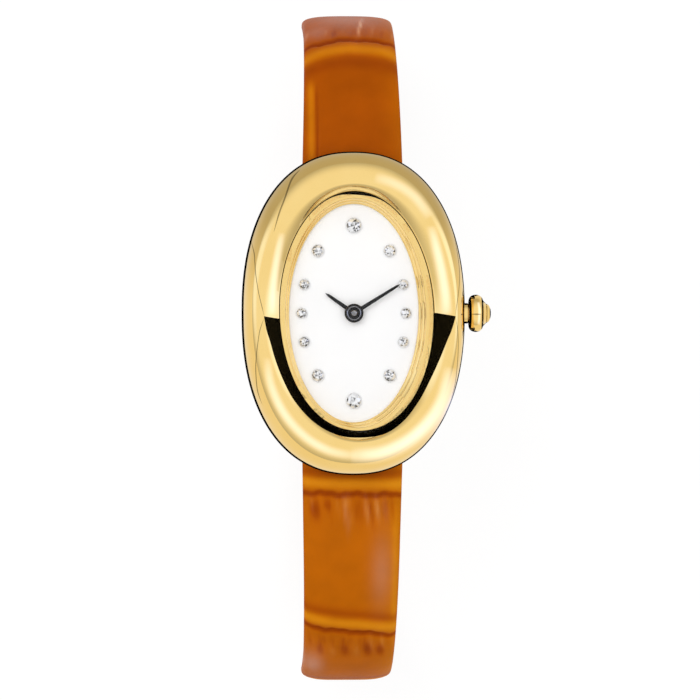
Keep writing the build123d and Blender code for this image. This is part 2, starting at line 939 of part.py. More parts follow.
def make_crown():
    """The crown: a round bun with a coned shoulder and a small cap."""
    bun_end = crown_start + bun_length
    points = [(crown_start, 0)]
    for band in range(bun_bands + 1):
        turn = math.pi * band / bun_bands
        swell = bun_face_radius + (bun_radius - bun_face_radius) * math.sin(turn)
        points.append(((crown_start + bun_end) / 2 - bun_length / 2 * math.cos(turn), swell))
    points += [
        (bun_end, shoulder_radius),
        (cap_start, cap_radius),
        (crown_end, cap_face_radius),
        (crown_end, 0),
    ]
    body = revolve(Plane.XZ * make_face(Polyline(*points, close=True)), Axis.X)
    body = Pos(0, 0, stem_z) * body
    body -= rod(tube_radius + run_gap, crown_start, crown_bore_end, stem_z)
    gasket_end = crown_gasket_start + crown_gasket_length
    body -= rod(crown_gasket_radius, crown_gasket_start, gasket_end, stem_z)
    return body - rod(stem_radius, crown_bore_end, stem_end, stem_z)


def make_crown_gasket():
    """The rubber ring in the crown that wipes the tube."""
    gasket_end = crown_gasket_start + crown_gasket_length
    ring = rod(crown_gasket_radius, crown_gasket_start, gasket_end, stem_z)
    return ring - rod(tube_radius + run_gap, crown_gasket_start, gasket_end, stem_z)


def make_spring_bar(half_gap, y, height):
    """A sprung bar between two walls: a tube with a thin tip at each end."""
    bar = rod(bar_radius, -half_gap + tip_gap, half_gap - tip_gap, height, y)
    reach = half_gap + bar_tip_length
    return bar + rod(bar_tip_radius, -reach, reach, height, y)


def route_normal(side, turn):
    """The way out of the strap's loop where its run points down by the angle turn."""
    return side * math.sin(turn), math.cos(turn)


def strap_line(side, first_run, low_bend, low_middle, end_y, offset):
    """Edges of the strap's side view at an offset outside its middle line, from the case bar to its end."""
    def shifted(point, turn, distance):
        out = route_normal(side, turn)
        return point[0] + distance * out[0], point[1] + distance * out[1]

    start = (side * bar_y, bar_height)
    knee = (
        start[0] + side * first_run * math.cos(slope),
        start[1] - first_run * math.sin(slope),
    )
    shoulder = shifted(knee, slope, -shoulder_bend)
    level = math.pi / 2
    far = shifted(shoulder, level, shoulder_bend)
    low_centre = shifted(far, level, -low_bend)
    upper = shoulder_bend + offset
    lower = low_bend + offset
    half_slope = (slope + level) / 2
    half_low = (level + math.pi) / 2
    floor_point = shifted(low_centre, math.pi, lower)
    return [
        Line(shifted(start, slope, offset), shifted(knee, slope, offset)),
        ThreePointArc(
            shifted(shoulder, slope, upper),
            shifted(shoulder, half_slope, upper),
            shifted(shoulder, level, upper),
        ),
        ThreePointArc(
            shifted(low_centre, level, lower),
            shifted(low_centre, half_low, lower),
            floor_point,
        ),
        Line(floor_point, (end_y, low_middle - offset)),
    ]


def strap_band(side, first_run, low_bend, low_middle, end_y, inner, outer):
    """The side view of one strap layer, between two offsets from the strap's middle line."""
    near = strap_line(side, first_run, low_bend, low_middle, end_y, inner)
    far = strap_line(side, first_run, low_bend, low_middle, end_y, outer)
    start_cap = Line(near[0] @ 0, far[0] @ 0)
    end_cap = Line(near[-1] @ 1, far[-1] @ 1)
    return make_face([*near, *far, start_cap, end_cap])


def strap_envelope(side, first_run, low_bend, low_middle):
    """The strap's width: a taper seen from above as far as the bend, then one seen from the end."""
    bend_z = low_middle + low_bend
    far_y = bar_y + first_run * math.cos(slope) + shoulder_bend * (1 - math.sin(slope))
    inner_y = far_y - strap_thick / 2
    reach = far_y + strap_thick
    case_half = strap_width_case / 2
    bend_half = strap_width_bend / 2
    end_half = strap_width_end / 2
    right = [(case_half, 0), (case_half, bar_y), (bend_half, inner_y), (bend_half, reach)]
    plan = [(x, side * y) for x, y in right]
    plan += [(-x, side * y) for x, y in reversed(right)]
    top = bar_height + 2 * eye_radius
    upper = Pos(0, 0, bend_z) * extrude(make_face(Polyline(*plan, close=True)), amount=top - bend_z)
    flat_z = low_middle + strap_thick / 2
    ladder = [(bend_half, bend_z), (end_half, flat_z), (end_half, -overrun)]
    outline = ladder + [(-x, z) for x, z in reversed(ladder)]
    face = Plane.XZ * make_face(Polyline(*outline, close=True))
    return upper + extrude(face, amount=reach, both=True)


def side_disc(radius, y, z):
    """A round in the strap's side view."""
    return Pos(y, z) * round_face(radius)


def across(face, width):
    """A side view made into a solid as wide as width, centred on X = 0."""
    return extrude(Plane.YZ * face, amount=width / 2, both=True)


def strap_short(layer_inner, layer_outer, keep_eyes):
    """One layer of the 12 o'clock strap, from the case bar round to the buckle bar."""
    route = (1, short_first_run, short_low_bend, short_middle, buckle_bar_y)
    band = strap_band(*route, layer_inner, layer_outer)
    eyes = ((bar_y, bar_height), (buckle_bar_y, short_middle))
    for y, z in eyes:
        if keep_eyes:
            band += side_disc(eye_radius, y, z)
        else:
            band -= side_disc(eye_radius, y, z)
    for y, z in eyes:
        band -= side_disc(bar_radius + bar_hole_gap, y, z)
    layer = across(band, strap_width_case)
    layer &= strap_envelope(*route[:4])
    slot_half = tongue_width / 2 + tongue_side_gap
    slot_start = buckle_bar_y - eye_radius - overrun
    slot_end = buckle_bar_y + tongue_eye_radius + tongue_side_gap
    slot_z = eye_radius + overrun
    layer -= block(
        (-slot_half, slot_start, short_middle - slot_z), (slot_half, slot_end, short_middle + slot_z)
    )
    return layer


def strap_long(layer_inner, layer_outer, keep_eye):
    """One layer of the 6 o'clock strap, from the case bar round to its rounded tail."""
    route = (-1, long_first_run, long_low_bend, tail_middle, tail_end_y)
    band = strap_band(*route, layer_inner, layer_outer)
    if keep_eye:
        band += side_disc(eye_radius, -bar_y, bar_height)
    else:
        band -= side_disc(eye_radius, -bar_y, bar_height)
    band -= side_disc(bar_radius + bar_hole_gap, -bar_y, bar_height)
    layer = across(band, strap_width_case)
    layer &= strap_envelope(*route[:4])

    low = tail_middle - strap_thick
    high = tail_middle + strap_thick
    half = strap_width_end / 2
    round_y = tail_end_y - tail_round
    corners = block((-half - overrun, round_y, low), (half + overrun, tail_end_y + overrun, high))
    layer -= corners - disc(tail_round, low, high, 0, round_y)
    for number in range(hole_count):
        y = buckle_bar_y - hole_length - hole_pitch * number
        slot = Rectangle(hole_width, hole_length)
        slot = chamfer(slot.vertices(), hole_corner)
        layer -= Pos(0, y, low) * extrude(slot, amount=high - low)
    return layer


def make_strap_short_upper():
    """The outer leather of the 12 o'clock strap, folded round both bars."""
    return strap_short(glue_line, strap_thick / 2, True)


def make_strap_short_lining():
    """The lining under the 12 o'clock strap."""
    return strap_short(-strap_thick / 2, glue_line, False)


def make_strap_long_upper():
    """The outer leather of the 6 o'clock strap, folded round the case bar."""
    return strap_long(glue_line, strap_thick / 2, True)


def make_strap_long_lining():
    """The lining under the 6 o'clock strap."""
    return strap_long(-strap_thick / 2, glue_line, False)


def make_keeper(y, width):
    """A leather loop round both layers of the strap."""
    half = strap_width_end / 2 + keeper_gap
    top = short_middle + strap_thick / 2 + keeper_gap
    height = top - keeper_wall
    middle_z = (top + keeper_wall) / 2
    outer = RectangleRounded(2 * half + 2 * keeper_wall, height + 2 * keeper_wall, keeper_corner)
    ring = outer - Rectangle(2 * half, height)
    return Pos(0, y, middle_z) * extrude(Plane.XZ * ring, amount=width / 2, both=True)


def make_buckle_frame():
    """The gold buckle frame: a bar across the floor side, and two arms up to the buckle bar."""
    bar_near = crossbar_y + crossbar_width / 2
    bar_far = crossbar_y - crossbar_width / 2
    inner = strap_width_end / 2 + arm_gap
    outer = inner + arm_width
    crossbar = block((-outer, bar_far, 0), (outer, bar_near, crossbar_thick))
    edges = crossbar.edges().filter_by(Axis.X)
    crossbar = fillet(edges, crossbar_edge)

    swing_y = (buckle_bar_y + crossbar_y) / 2
    low_end = (buckle_bar_y + arm_end_radius, short_middle)
    top_end = (buckle_bar_y - arm_end_radius, short_middle)
    profile = make_face(
        [
            Line((bar_far + crossbar_edge, 0), (bar_near, 0)),
            ThreePointArc((bar_near, 0), (swing_y + arm_waist, short_middle / 4), low_end),
            ThreePointArc(low_end, (buckle_bar_y, short_middle + arm_end_radius), top_end),
            ThreePointArc(
                top_end,
                (swing_y - arm_waist / 2, short_middle / 2),
                (bar_far + crossbar_edge, crossbar_thick),
            ),
            Line((bar_far + crossbar_edge, crossbar_thick), (bar_far + crossbar_edge, 0)),
        ]
    )
    frame = crossbar
    for side in (-1, 1):
        arm = extrude(Plane.YZ * profile, amount=arm_width)
        start = inner if side > 0 else -outer
        frame += Pos(start, 0, 0) * arm
    notch_half = tongue_width / 2 + tongue_side_gap
    frame -= block((-notch_half, bar_far - overrun, -overrun), (notch_half, bar_near + overrun, notch_depth))
    hole_end = inner + bar_tip_length + tip_gap
    return frame - rod(bar_tip_radius + tip_gap, -hole_end, hole_end, short_middle, buckle_bar_y)


def make_buckle_tongue():
    """The gold tongue: an eye on the buckle bar and a cranked blade through the tail to the crossbar."""
    half_thick = tongue_thick / 2
    slot_y = buckle_bar_y - hole_length
    points = [
        (buckle_bar_y - tongue_eye_radius + half_thick, short_middle - half_thick),
        (slot_y + tongue_thick, short_middle - tongue_eye_radius + half_thick),
        (slot_y - half_thick, tongue_thick + half_thick),
        (slot_y - 3 * half_thick, half_thick),
        (crossbar_y - crossbar_width / 2, half_thick),
    ]
    shape = side_disc(tongue_eye_radius, buckle_bar_y, short_middle)
    for near, far in zip(points, points[1:]):
        middle = ((near[0] + far[0]) / 2, (near[1] + far[1]) / 2)
        span = math.hypot(far[0] - near[0], far[1] - near[1])
        lean = math.degrees(math.atan2(far[1] - near[1], far[0] - near[0]))
        shape += Pos(*middle) * SlotCenterToCenter(span, tongue_thick, rotation=lean)
    shape -= side_disc(bar_radius + tip_gap, buckle_bar_y, short_middle)
    return across(shape, tongue_width)


def build():
    """Every piece of the watch by its name."""
    case_bar_half = strap_width_case / 2 + strap_side_gap
    buckle_bar_half = strap_width_end / 2 + arm_gap
    return {
        "case": make_case(),
        "case_back": make_case_back(),
        "back_gasket": make_back_gasket(),
        "crystal": make_crystal(),
        "rehaut_ring": make_rehaut_ring(),
        "dial": make_dial(),
        "dial_stones": make_dial_stones(),
        "stone_settings": make_stone_settings(),
        "hour_hand": make_hour_hand(),
        "minute_hand": make_minute_hand(),
        "centre_wheel": make_centre_wheel(),
        "minute_wheel": make_minute_wheel(),
        "hour_wheel": make_hour_wheel(),
        "intermediate_wheel": make_intermediate_wheel(),
        "rotor": make_rotor(),
        "main_plate": make_main_plate(),
        "train_bridge": make_train_bridge(),
        "movement_screws": make_movement_screws(),
        "movement_ring": make_movement_ring(),
        "battery": make_battery(),
        "battery_clamp": make_battery_clamp(),
        "coil_core": make_coil_core(),
        "coil_winding": make_coil_winding(),
        "stator": make_stator(),
        "circuit_board": make_circuit_board(),
        "quartz_can": make_quartz_can(),
        "stem": make_stem(),
        "clutch_pinion": make_clutch_pinion(),
        "setting_lever": make_setting_lever(),
        "case_tube": make_case_tube(),
        "crown": make_crown(),
        "crown_gasket": make_crown_gasket(),
        "spring_bar_12": make_spring_bar(case_bar_half, bar_y, bar_height),
        "spring_bar_6": make_spring_bar(case_bar_half, -bar_y, bar_height),
        "buckle_bar": make_spring_bar(buckle_bar_half, buckle_bar_y, short_middle),
        "strap_short_upper": make_strap_short_upper(),
        "strap_short_lining": make_strap_short_lining(),
        "strap_long_upper": make_strap_long_upper(),
        "strap_long_lining": make_strap_long_lining(),
        "fixed_keeper": make_keeper(0, fixed_keeper_width),
        "free_keeper": make_keeper(free_keeper_y, free_keeper_width),
        "buckle_frame": make_buckle_frame(),
        "buckle_tongue": make_buckle_tongue(),
    }


if __name__ == "__main__":
    os.makedirs("parts", exist_ok=True)
    for name, piece in build().items():
        export_step(piece, f"parts/{name}.step")
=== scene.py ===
import itertools
import math
import random

import bpy
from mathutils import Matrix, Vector


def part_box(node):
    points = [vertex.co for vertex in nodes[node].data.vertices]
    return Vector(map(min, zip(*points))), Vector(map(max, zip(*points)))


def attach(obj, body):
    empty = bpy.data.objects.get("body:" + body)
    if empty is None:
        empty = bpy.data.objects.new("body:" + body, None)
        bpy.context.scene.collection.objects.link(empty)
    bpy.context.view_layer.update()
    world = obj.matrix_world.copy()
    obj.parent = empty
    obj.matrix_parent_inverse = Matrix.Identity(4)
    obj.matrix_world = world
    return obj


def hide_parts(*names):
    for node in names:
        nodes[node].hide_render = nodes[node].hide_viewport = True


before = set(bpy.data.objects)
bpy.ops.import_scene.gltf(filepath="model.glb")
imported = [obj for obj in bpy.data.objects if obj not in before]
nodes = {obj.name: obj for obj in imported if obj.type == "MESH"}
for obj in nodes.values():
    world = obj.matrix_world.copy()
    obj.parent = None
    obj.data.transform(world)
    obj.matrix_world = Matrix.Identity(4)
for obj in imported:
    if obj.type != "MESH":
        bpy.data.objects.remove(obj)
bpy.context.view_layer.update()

mm = 0.001


# Case
# The case is one stamped and polished shell of gold-plated brass: an oval that swells
# out to its widest line, domes up to a crest and falls inside to the glass. Its two
# ends are milled out underneath for the strap, and the tube for the crown goes through.

def at(x, y, z):
    """A point in metres, from millimetres."""
    return (x * mm, y * mm, z * mm)


def in_mm(box):
    """A box's two corners in millimetres."""
    return [[value / mm for value in corner] for corner in box]


def between(start, end, share):
    """The value a share of the way from start to end."""
    return start + (end - start) * share


def turns_of(count):
    """Angles that part a full turn evenly."""
    return [2 * math.pi * step / count for step in range(count)]


def oval_at(width, length, fullness, turn):
    """The point of an oval at an angle; fullness 2 is an ellipse, and more is squarer."""
    reach = (abs(math.cos(turn)) ** fullness + abs(math.sin(turn)) ** fullness) ** (-1 / fullness)
    return width / 2 * reach * math.cos(turn), length / 2 * reach * math.sin(turn)


def leaned(x, y, shift, lean):
    """A point turned by a lean in degrees and shifted along X."""
    turn = math.radians(lean)
    return x * math.cos(turn) - y * math.sin(turn) + shift, x * math.sin(turn) + y * math.cos(turn)


def oval_line(width, length, fullness, height, shift=0.0, lean=0.0, count=240):
    """Points round an oval at a height."""
    flat = [leaned(*oval_at(width, length, fullness, turn), shift, lean) for turn in turns_of(count)]
    return [at(x, y, height) for x, y in flat]


def put(name, data):
    """Puts a mesh, a lamp or a camera in the scene."""
    thing = bpy.data.objects.new(name, data)
    bpy.context.collection.objects.link(thing)
    return thing


def new_piece(name, corners, faces):
    """A piece from its corners in metres and its faces."""
    mesh = bpy.data.meshes.new(name)
    mesh.from_pydata(corners, [], faces)
    return put(name, mesh)


def smooth(mesh, sharp):
    """Shades a mesh smooth, but for the edges over an angle in degrees."""
    mesh.shade_smooth()
    mesh.set_sharp_from_angle(angle=math.radians(sharp))


def skin(name, rings, closed=True, caps=False, sharp=40):
    """A piece through rings of points; closed joins the last ring to the first, caps fill the ends."""
    count = len(rings[0])
    corners = [point for ring in rings for point in ring]
    faces = []
    for ring in range(len(rings) if closed else len(rings) - 1):
        near, far = ring * count, (ring + 1) % len(rings) * count
        for step in range(count):
            after = (step + 1) % count
            faces.append((near + step, near + after, far + after, far + step))
    if caps:
        faces.append(tuple(reversed(range(count))))
        faces.append(tuple(range(len(corners) - count, len(corners))))
    piece = new_piece(name, corners, faces)
    piece.data.validate()
    smooth(piece.data, sharp)
    return piece


case_low, case_high = in_mm(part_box("case"))
back_low, back_high = in_mm(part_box("case_back"))
bar_low, bar_high = in_mm(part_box("spring_bar_12"))
case_width, case_length = case_high[0] - case_low[0], case_high[1] - case_low[1]
case_base, case_foot, crest_top = back_low[2], case_low[2], case_high[2]
bar_y, bar_height = (bar_low[1] + bar_high[1]) / 2, (bar_low[2] + bar_high[2]) / 2
under_width, under_length = 20.6, 30.6
crest_width, crest_length = 19.5, 26.6
opening_width, opening_length = 16.0, 25.1
bore_width, bore_length = 16.5, 24.6
opening_shift, opening_lean = 0.26, 2.0
widest_height = case_base + 2.4
case_fullness = 2.28
swell = 0.8
crest_drop, fall_power, fall_share = 0.85, 1.5, 0.97
rim_top = crest_top - crest_drop
rim_round, rim_break = 0.08, 0.02
crystal_seat = rim_top - 0.5
ledge_width = 0.55
ledge_low = crystal_seat - 0.3
under_steps, dome_steps, fall_steps = 12, 40, 20

rings = []
for step in range(under_steps):
    turn = math.pi / 2 * step / under_steps
    out, rise = math.sin(turn) ** swell, 1 - math.cos(turn) ** swell
    rings.append(oval_line(
        between(under_width, case_width, out), between(under_length, case_length, out), case_fullness,
        between(case_foot, widest_height, rise),
    ))
for step in range(dome_steps):
    turn = math.pi / 2 * step / dome_steps
    out, rise = math.cos(turn) ** swell, math.sin(turn) ** swell
    rings.append(oval_line(
        between(crest_width, case_width, out), between(crest_length, case_length, out),
        between(2, case_fullness, out), between(widest_height, crest_top, rise),
        opening_shift * (1 - out), opening_lean * (1 - out),
    ))
for step in range(1, fall_steps + 1):
    share = step / fall_steps * fall_share
    rings.append(oval_line(
        between(crest_width, opening_width, share), between(crest_length, opening_length, share), 2,
        crest_top - crest_drop * share ** fall_power, opening_shift, opening_lean,
    ))
for inset, height in (
    (rim_break, rim_top), (0.0, rim_top - rim_round), (0.0, crystal_seat),
    (ledge_width, crystal_seat), (ledge_width, ledge_low),
):
    rings.append(oval_line(
        opening_width - 2 * inset, opening_length - 2 * inset, 2, height, opening_shift, opening_lean,
    ))
rings += [oval_line(bore_width, bore_length, 2, height) for height in (ledge_low, case_foot)]
case = skin("case_shell", rings)


def block(name, low, high):
    """A box between two corners in millimetres, to cut with."""
    corners = [at(*corner) for corner in itertools.product(*zip(low, high))]
    faces = ((0, 1, 3, 2), (4, 6, 7, 5), (0, 4, 5, 1), (2, 3, 7, 6), (0, 2, 6, 4), (1, 5, 7, 3))
    return new_piece(name, corners, faces)


def cut(piece, cutters, sharp=40):
    """Takes the cutters out of a piece and clears them away."""
    for cutter in cutters:
        change = piece.modifiers.new("cut", "BOOLEAN")
        change.operation = "DIFFERENCE"
        change.solver = "EXACT"
        change.object = cutter
    bpy.context.view_layer.update()
    result = piece.evaluated_get(bpy.context.evaluated_depsgraph_get())
    mesh = bpy.data.meshes.new_from_object(result)
    piece.modifiers.clear()
    piece.data = mesh
    smooth(mesh, sharp)
    for cutter in cutters:
        bpy.data.objects.remove(cutter)


recess_half, bar_room, cut_over = 5.4, 1.34, 1.0
recess_low, recess_top = case_foot - cut_over, bar_height + bar_room
recess_near, recess_far = bar_y - bar_room, case_length
cut(case, [
    block("recess_top", (-recess_half, recess_near, recess_low), (recess_half, recess_far, recess_top)),
    block("recess_foot", (-recess_half, -recess_far, recess_low), (recess_half, -recess_near, recess_top)),
])


def add_node(tree, kind, sockets=(), **settings):
    """A shader node with its settings, and with values or other nodes' outputs on its sockets."""
    made = tree.nodes.new("ShaderNode" + kind)
    for name, value in settings.items():
        setattr(made, name, value)
    for name, value in dict(sockets).items():
        if isinstance(value, bpy.types.NodeSocket):
            tree.links.new(value, made.inputs[name])
        else:
            made.inputs[name].default_value = value
    return made


def finish_of(name, colour, roughness, metallic=0.0, more=()):
    """A new material; returns it with its node tree and its shader."""
    material = bpy.data.materials.new(name)
    material.use_nodes = True
    shader = material.node_tree.nodes["Principled BSDF"]
    values = {"Base Color": (*colour, 1), "Roughness": roughness, "Metallic": metallic, **dict(more)}
    for socket, value in values.items():
        shader.inputs[socket].default_value = value
    return material, material.node_tree, shader


def noise_on(tree, scale, detail=4.0, stretch=(1, 1, 1)):
    """A noise over the piece's own millimetres, stretched along its axes."""
    place = add_node(tree, "TexCoord").outputs["Object"]
    mapping = add_node(tree, "Mapping", {"Vector": place, "Scale": [share / mm for share in stretch]})
    noise = {"Vector": mapping.outputs["Vector"], "Scale": scale, "Detail": detail}
    return add_node(tree, "TexNoise", noise).outputs["Fac"]


def spread(tree, source, low, high, socket):
    """Maps the middle of a 0 to 1 value to a range and feeds it to a socket."""
    ends = {"Value": source, "From Min": 0.3, "From Max": 0.7, "To Min": low, "To Max": high}
    tree.links.new(add_node(tree, "MapRange", ends).outputs["Result"], socket)


def tint(tree, source, dark, light, socket, low=0.3, high=0.7):
    """Colours a 0 to 1 value from dark to light."""
    ramp = add_node(tree, "ValToRGB", {"Fac": source})
    for stop, place, colour in zip(ramp.color_ramp.elements, (low, high), (dark, light)):
        stop.position = place
        stop.color = (*colour, 1)
    tree.links.new(ramp.outputs["Color"], socket)
    return ramp


def rough_up(tree, source, shader, strength, depth):
    """Lets a 0 to 1 value stand up from the surface by a depth in millimetres."""
    bump = add_node(tree, "Bump", {"Height": source, "Strength": strength, "Distance": depth * mm})
    tree.links.new(bump.outputs["Normal"], shader.inputs["Normal"])


def grained(name, colour, roughness, metallic, grain, tones=(), gloss=(), bump=(), clouds=(), more=()):
    """A material whose tones, gloss and surface follow a fine grain, or its tones another, clouds."""
    material, tree, shader = finish_of(name, colour, roughness, metallic, more)
    fine = noise_on(tree, *grain)
    if tones:
        tint(tree, noise_on(tree, *clouds) if clouds else fine, *tones, shader.inputs["Base Color"])
    if gloss:
        spread(tree, fine, *gloss, shader.inputs["Roughness"])
    if bump:
        rough_up(tree, fine, shader, *bump)
    return material


def dress(piece, material, body, node=None):
    """Gives a piece its finish, its body and the CAD node it stands for."""
    piece.data.materials.clear()
    piece.data.materials.append(material)
    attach(piece, body)
    if node:
        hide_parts(node)


gold = grained(
    "polished_gold", (1.0, 0.71, 0.27), 0.07, 1.0, grain=(1.4, 3.0, (1, 6, 6)),
    tones=((0.98, 0.69, 0.24), (1.0, 0.725, 0.275)), clouds=(0.25, 2.0), gloss=(0.05, 0.09),
    bump=(0.02, 0.003), more={"Coat Weight": 0.35, "Coat Roughness": 0.06},
)
dress(case, gold, "watch_body", "case")


# Case back and its ring
# The back is a flat oval of steel, brushed across and pressed into the case over a thin
# black rubber ring. It carries nothing but its finish.

steel = grained(
    "brushed_steel", (0.62, 0.61, 0.59), 0.3, 1.0, grain=(2.2, 5.0, (0.15, 9, 9)),
    tones=((0.5, 0.49, 0.47), (0.74, 0.73, 0.7)), gloss=(0.22, 0.42), bump=(0.12, 0.02),
)
back_width, back_length = back_high[0] - back_low[0], back_high[1] - back_low[1]
back_thick = case_foot - case_base
edge_round, edge_break, groove_depth = 0.15, 0.045, 0.08
rings = [
    oval_line(back_width - 2 * inset, back_length - 2 * inset, 2, case_base + rise, count=160)
    for inset, rise in (
        (1.45, 0.0), (1.35, groove_depth), (1.2, groove_depth), (1.1, 0.0), (edge_round, 0.0),
        (edge_break, edge_break), (0.0, edge_round), (0.0, back_thick), (1.6, back_thick),
    )
]
back = skin("back_plate", rings, closed=False, caps=True, sharp=25)
dress(back, steel, "watch_body", "case_back")


def paint(material, *names):
    """Gives CAD nodes a material."""
    for name in names:
        for place in nodes[name].material_slots:
            place.material = material


rubber = grained(
    "black_rubber", (0.02, 0.02, 0.02), 0.6, 0.0, grain=(6.0, 3.0), gloss=(0.5, 0.75), bump=(0.2, 0.02),
)
paint(rubber, "back_gasket", "crown_gasket")


# Stepped ring
# Between the glass and the dial sits a turned ring of polished gold, with three rounded
# lips that step down to the dial, so that it shows as fine bright lines round the white.

dial_top = in_mm(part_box("dial"))[1][2]
dial_open_width, dial_open_length = 13.3, 22.4
lips, lip_round, lip_steps = 3, 0.13, 6
fit_gap, seat_gap = 0.08, 0.01
ring_top = ledge_low - seat_gap
outer_width = opening_width - 2 * ledge_width
outer_length = opening_length - 2 * ledge_width
rings = [
    oval_line(bore_width - 2 * fit_gap, bore_length - 2 * fit_gap, 2, height)
    for height in (dial_top + seat_gap, ring_top)
]
for lip in range(lips):
    after = (lip + 1) / lips
    nose = ring_top - (ledge_low - dial_top) * lip / lips
    width = between(outer_width, dial_open_width, after)
    length = between(outer_length, dial_open_length, after)
    for step in range(lip_steps + 1):
        turn = math.pi / 2 * step / lip_steps
        out = 2 * lip_round * (1 - math.sin(turn))
        rings.append(oval_line(
            width + out, length + out, 2, nose - lip_round * (1 - math.cos(turn)),
            opening_shift * (1 - after), opening_lean * (1 - after),
        ))
rings.append(oval_line(dial_open_width, dial_open_length, 2, dial_top + seat_gap))
stepped_ring = skin("stepped_ring", rings)
dress(stepped_ring, gold, "watch_body", "rehaut_ring")


# Dial
# The dial is a brass blank under many coats of white lacquer, rubbed flat. Two feet
# soldered underneath hold it in the movement.

lacquer = grained(
    "white_lacquer", (0.93, 0.93, 0.935), 0.35, 0.0, grain=(5.0, 3.0),
    tones=((0.905, 0.905, 0.915), (0.95, 0.95, 0.95)), clouds=(0.12, 2.0), gloss=(0.3, 0.42),
    bump=(0.04, 0.01),
)
paint(lacquer, "dial")


# Hour stones
# Twelve round clear stones, cut with facets and backed with foil, mark the hours. The
# ones at 12 and 6 are largest. Each sits in a thin bright ring that is pushed over its
# edge in four small grains.

end_radius, end_y = 0.72, 9.0
side_radius, side_x = 0.5, 5.35
corner_radius, corner_x, corner_y = 0.58, 3.7, 6.4
next_x, next_y = 5.08, 2.95
places = []
for side in (1, -1):
    places.append((0.0, side * end_y, end_radius))
    places.append((side * side_x, 0.0, side_radius))
    for end in (1, -1):
        places.append((side * corner_x, end * corner_y, corner_radius))
        places.append((side * next_x, end * next_y, side_radius))

setting_height, stone_height = 0.2, 0.42
rim_sides, top_sides = 16, 8
levels = (
    (rim_sides, 1.0, setting_height - 0.03, 0.0), (rim_sides, 1.0, setting_height + 0.02, 0.0),
    (top_sides, 0.78, setting_height + 0.14, 0.5), (top_sides, 0.52, stone_height, 0.0),
)
# Each facet gets a light or dark tone at random: a painted reflection of the stones' sparkle.
painted_glint_tones = (0.05, 0.2, 0.55, 0.8, 0.95, 1.0, 1.0, 1.0)
tones = random.Random(12)
corners, faces = [], []
for x, y, radius in places:
    girdle = len(corners)
    edge = girdle + rim_sides
    kite = edge + rim_sides
    flat = kite + top_sides
    centre = flat + top_sides
    spin = tones.uniform(0, math.pi / 4)
    for count, share, height, half in levels:
        for step in range(count):
            turn = spin + 2 * math.pi * (step + half) / count
            corners.append(at(
                x + radius * share * math.cos(turn), y + radius * share * math.sin(turn), dial_top + height,
            ))
    corners.append(at(x + 0.1 * radius, y - 0.08 * radius, dial_top + stone_height))
    for step in range(rim_sides):
        after = (step + 1) % rim_sides
        faces.append((girdle + step, girdle + after, edge + after, edge + step))
    for step in range(top_sides):
        after, before = (step + 1) % top_sides, (step - 1) % top_sides
        wide, mid, next_wide = edge + 2 * step, edge + 2 * step + 1, edge + 2 * after
        faces.append((wide, mid, kite + step))
        faces.append((mid, next_wide, kite + step))
        faces.append((wide, kite + step, flat + step))
        faces.append((wide, flat + step, kite + before))
        faces.append((kite + step, flat + after, flat + step))
    for step in range(top_sides):
        faces.append((flat + step, flat + (step + 1) % top_sides, centre))


def put_values(piece, name, values, domain="POINT"):
    """Stores a value for each corner or face of a piece, for its material to read."""
    piece.data.attributes.new(name, "FLOAT", domain).data.foreach_set("value", values)


hour_stones = new_piece("hour_stones", corners, faces)
put_values(hour_stones, "tone", [tones.choice(painted_glint_tones) for face in faces], "FACE")
# The crystal's colour follows each facet's tone, the painted reflection.
glint_crystal, tree, shader = finish_of(
    "crystal_painted_glints", (0.9, 0.9, 0.9), 0.05, 0.35, {"Coat Weight": 1.0, "Coat Roughness": 0.02},
)
facet_glint = add_node(tree, "Attribute", attribute_name="tone").outputs["Fac"]
tint(tree, facet_glint, (0.03, 0.03, 0.035), (0.93, 0.94, 0.96), shader.inputs["Base Color"], 0.0, 1.0)
dress(hour_stones, glint_crystal, "watch_body", "dial_stones")


def turned(name, profile, x=0.0, y=0.0, sides=48, sharp=35, closed=True, caps=False):
    """A piece turned on a lathe about an upright axis, from (radius, height) pairs in millimetres."""
    rings = [
        [at(x + radius * math.cos(turn), y + radius * math.sin(turn), height) for turn in turns_of(sides)]
        for radius, height in profile
    ]
    return skin(name, rings, closed=closed, caps=caps, sharp=sharp)


def joined(name, parts):
    """Joins pieces into one mesh under one name."""
    corners, faces = [], []
    for part in parts:
        first = len(corners)
        corners += [tuple(corner.co) for corner in part.data.vertices]
        faces += [tuple(first + index for index in face.vertices) for face in part.data.polygons]
        bpy.data.objects.remove(part)
    piece = new_piece(name, corners, faces)
    smooth(piece.data, 35)
    return piece


silver = grained(
    "bright_silver", (0.82, 0.82, 0.81), 0.15, 1.0, grain=(3.0, 3.0),
    tones=((0.72, 0.72, 0.72), (0.88, 0.88, 0.87)), gloss=(0.1, 0.22),
)
ring_wall, ring_lap, grain_radius, grain_lap = 0.09, 0.04, 0.07, 0.01
low, high = dial_top + 0.005, dial_top + setting_height
parts = []
for x, y, radius in places:
    inner, outer = radius - ring_lap, radius + ring_wall
    parts.append(turned("setting", (
        (inner, low), (outer, low), (outer, high - 0.06), (outer - 0.03, high + 0.01), (radius, high + 0.02),
        (inner, high - 0.02),
    ), x, y, sides=32))
    for quarter in range(4):
        turn = math.pi / 4 + math.pi / 2 * quarter
        reach = radius - grain_lap
        parts.append(turned("grain", (
            (grain_radius, high - 0.05), (grain_radius, high + 0.01), (0.75 * grain_radius, high + 0.06),
            (0.35 * grain_radius, high + 0.085),
        ), x + reach * math.cos(turn), y + reach * math.sin(turn), sides=10, closed=False, caps=True))
dress(joined("stone_rings", parts), silver, "watch_body", "stone_settings")


# Hands
# The hands are stamped steel, polished and then blackened, each with a round boss that
# is pressed on its pipe. The minute hand's boss has a turned groove, and the end of the
# arbor shows bright in its middle.

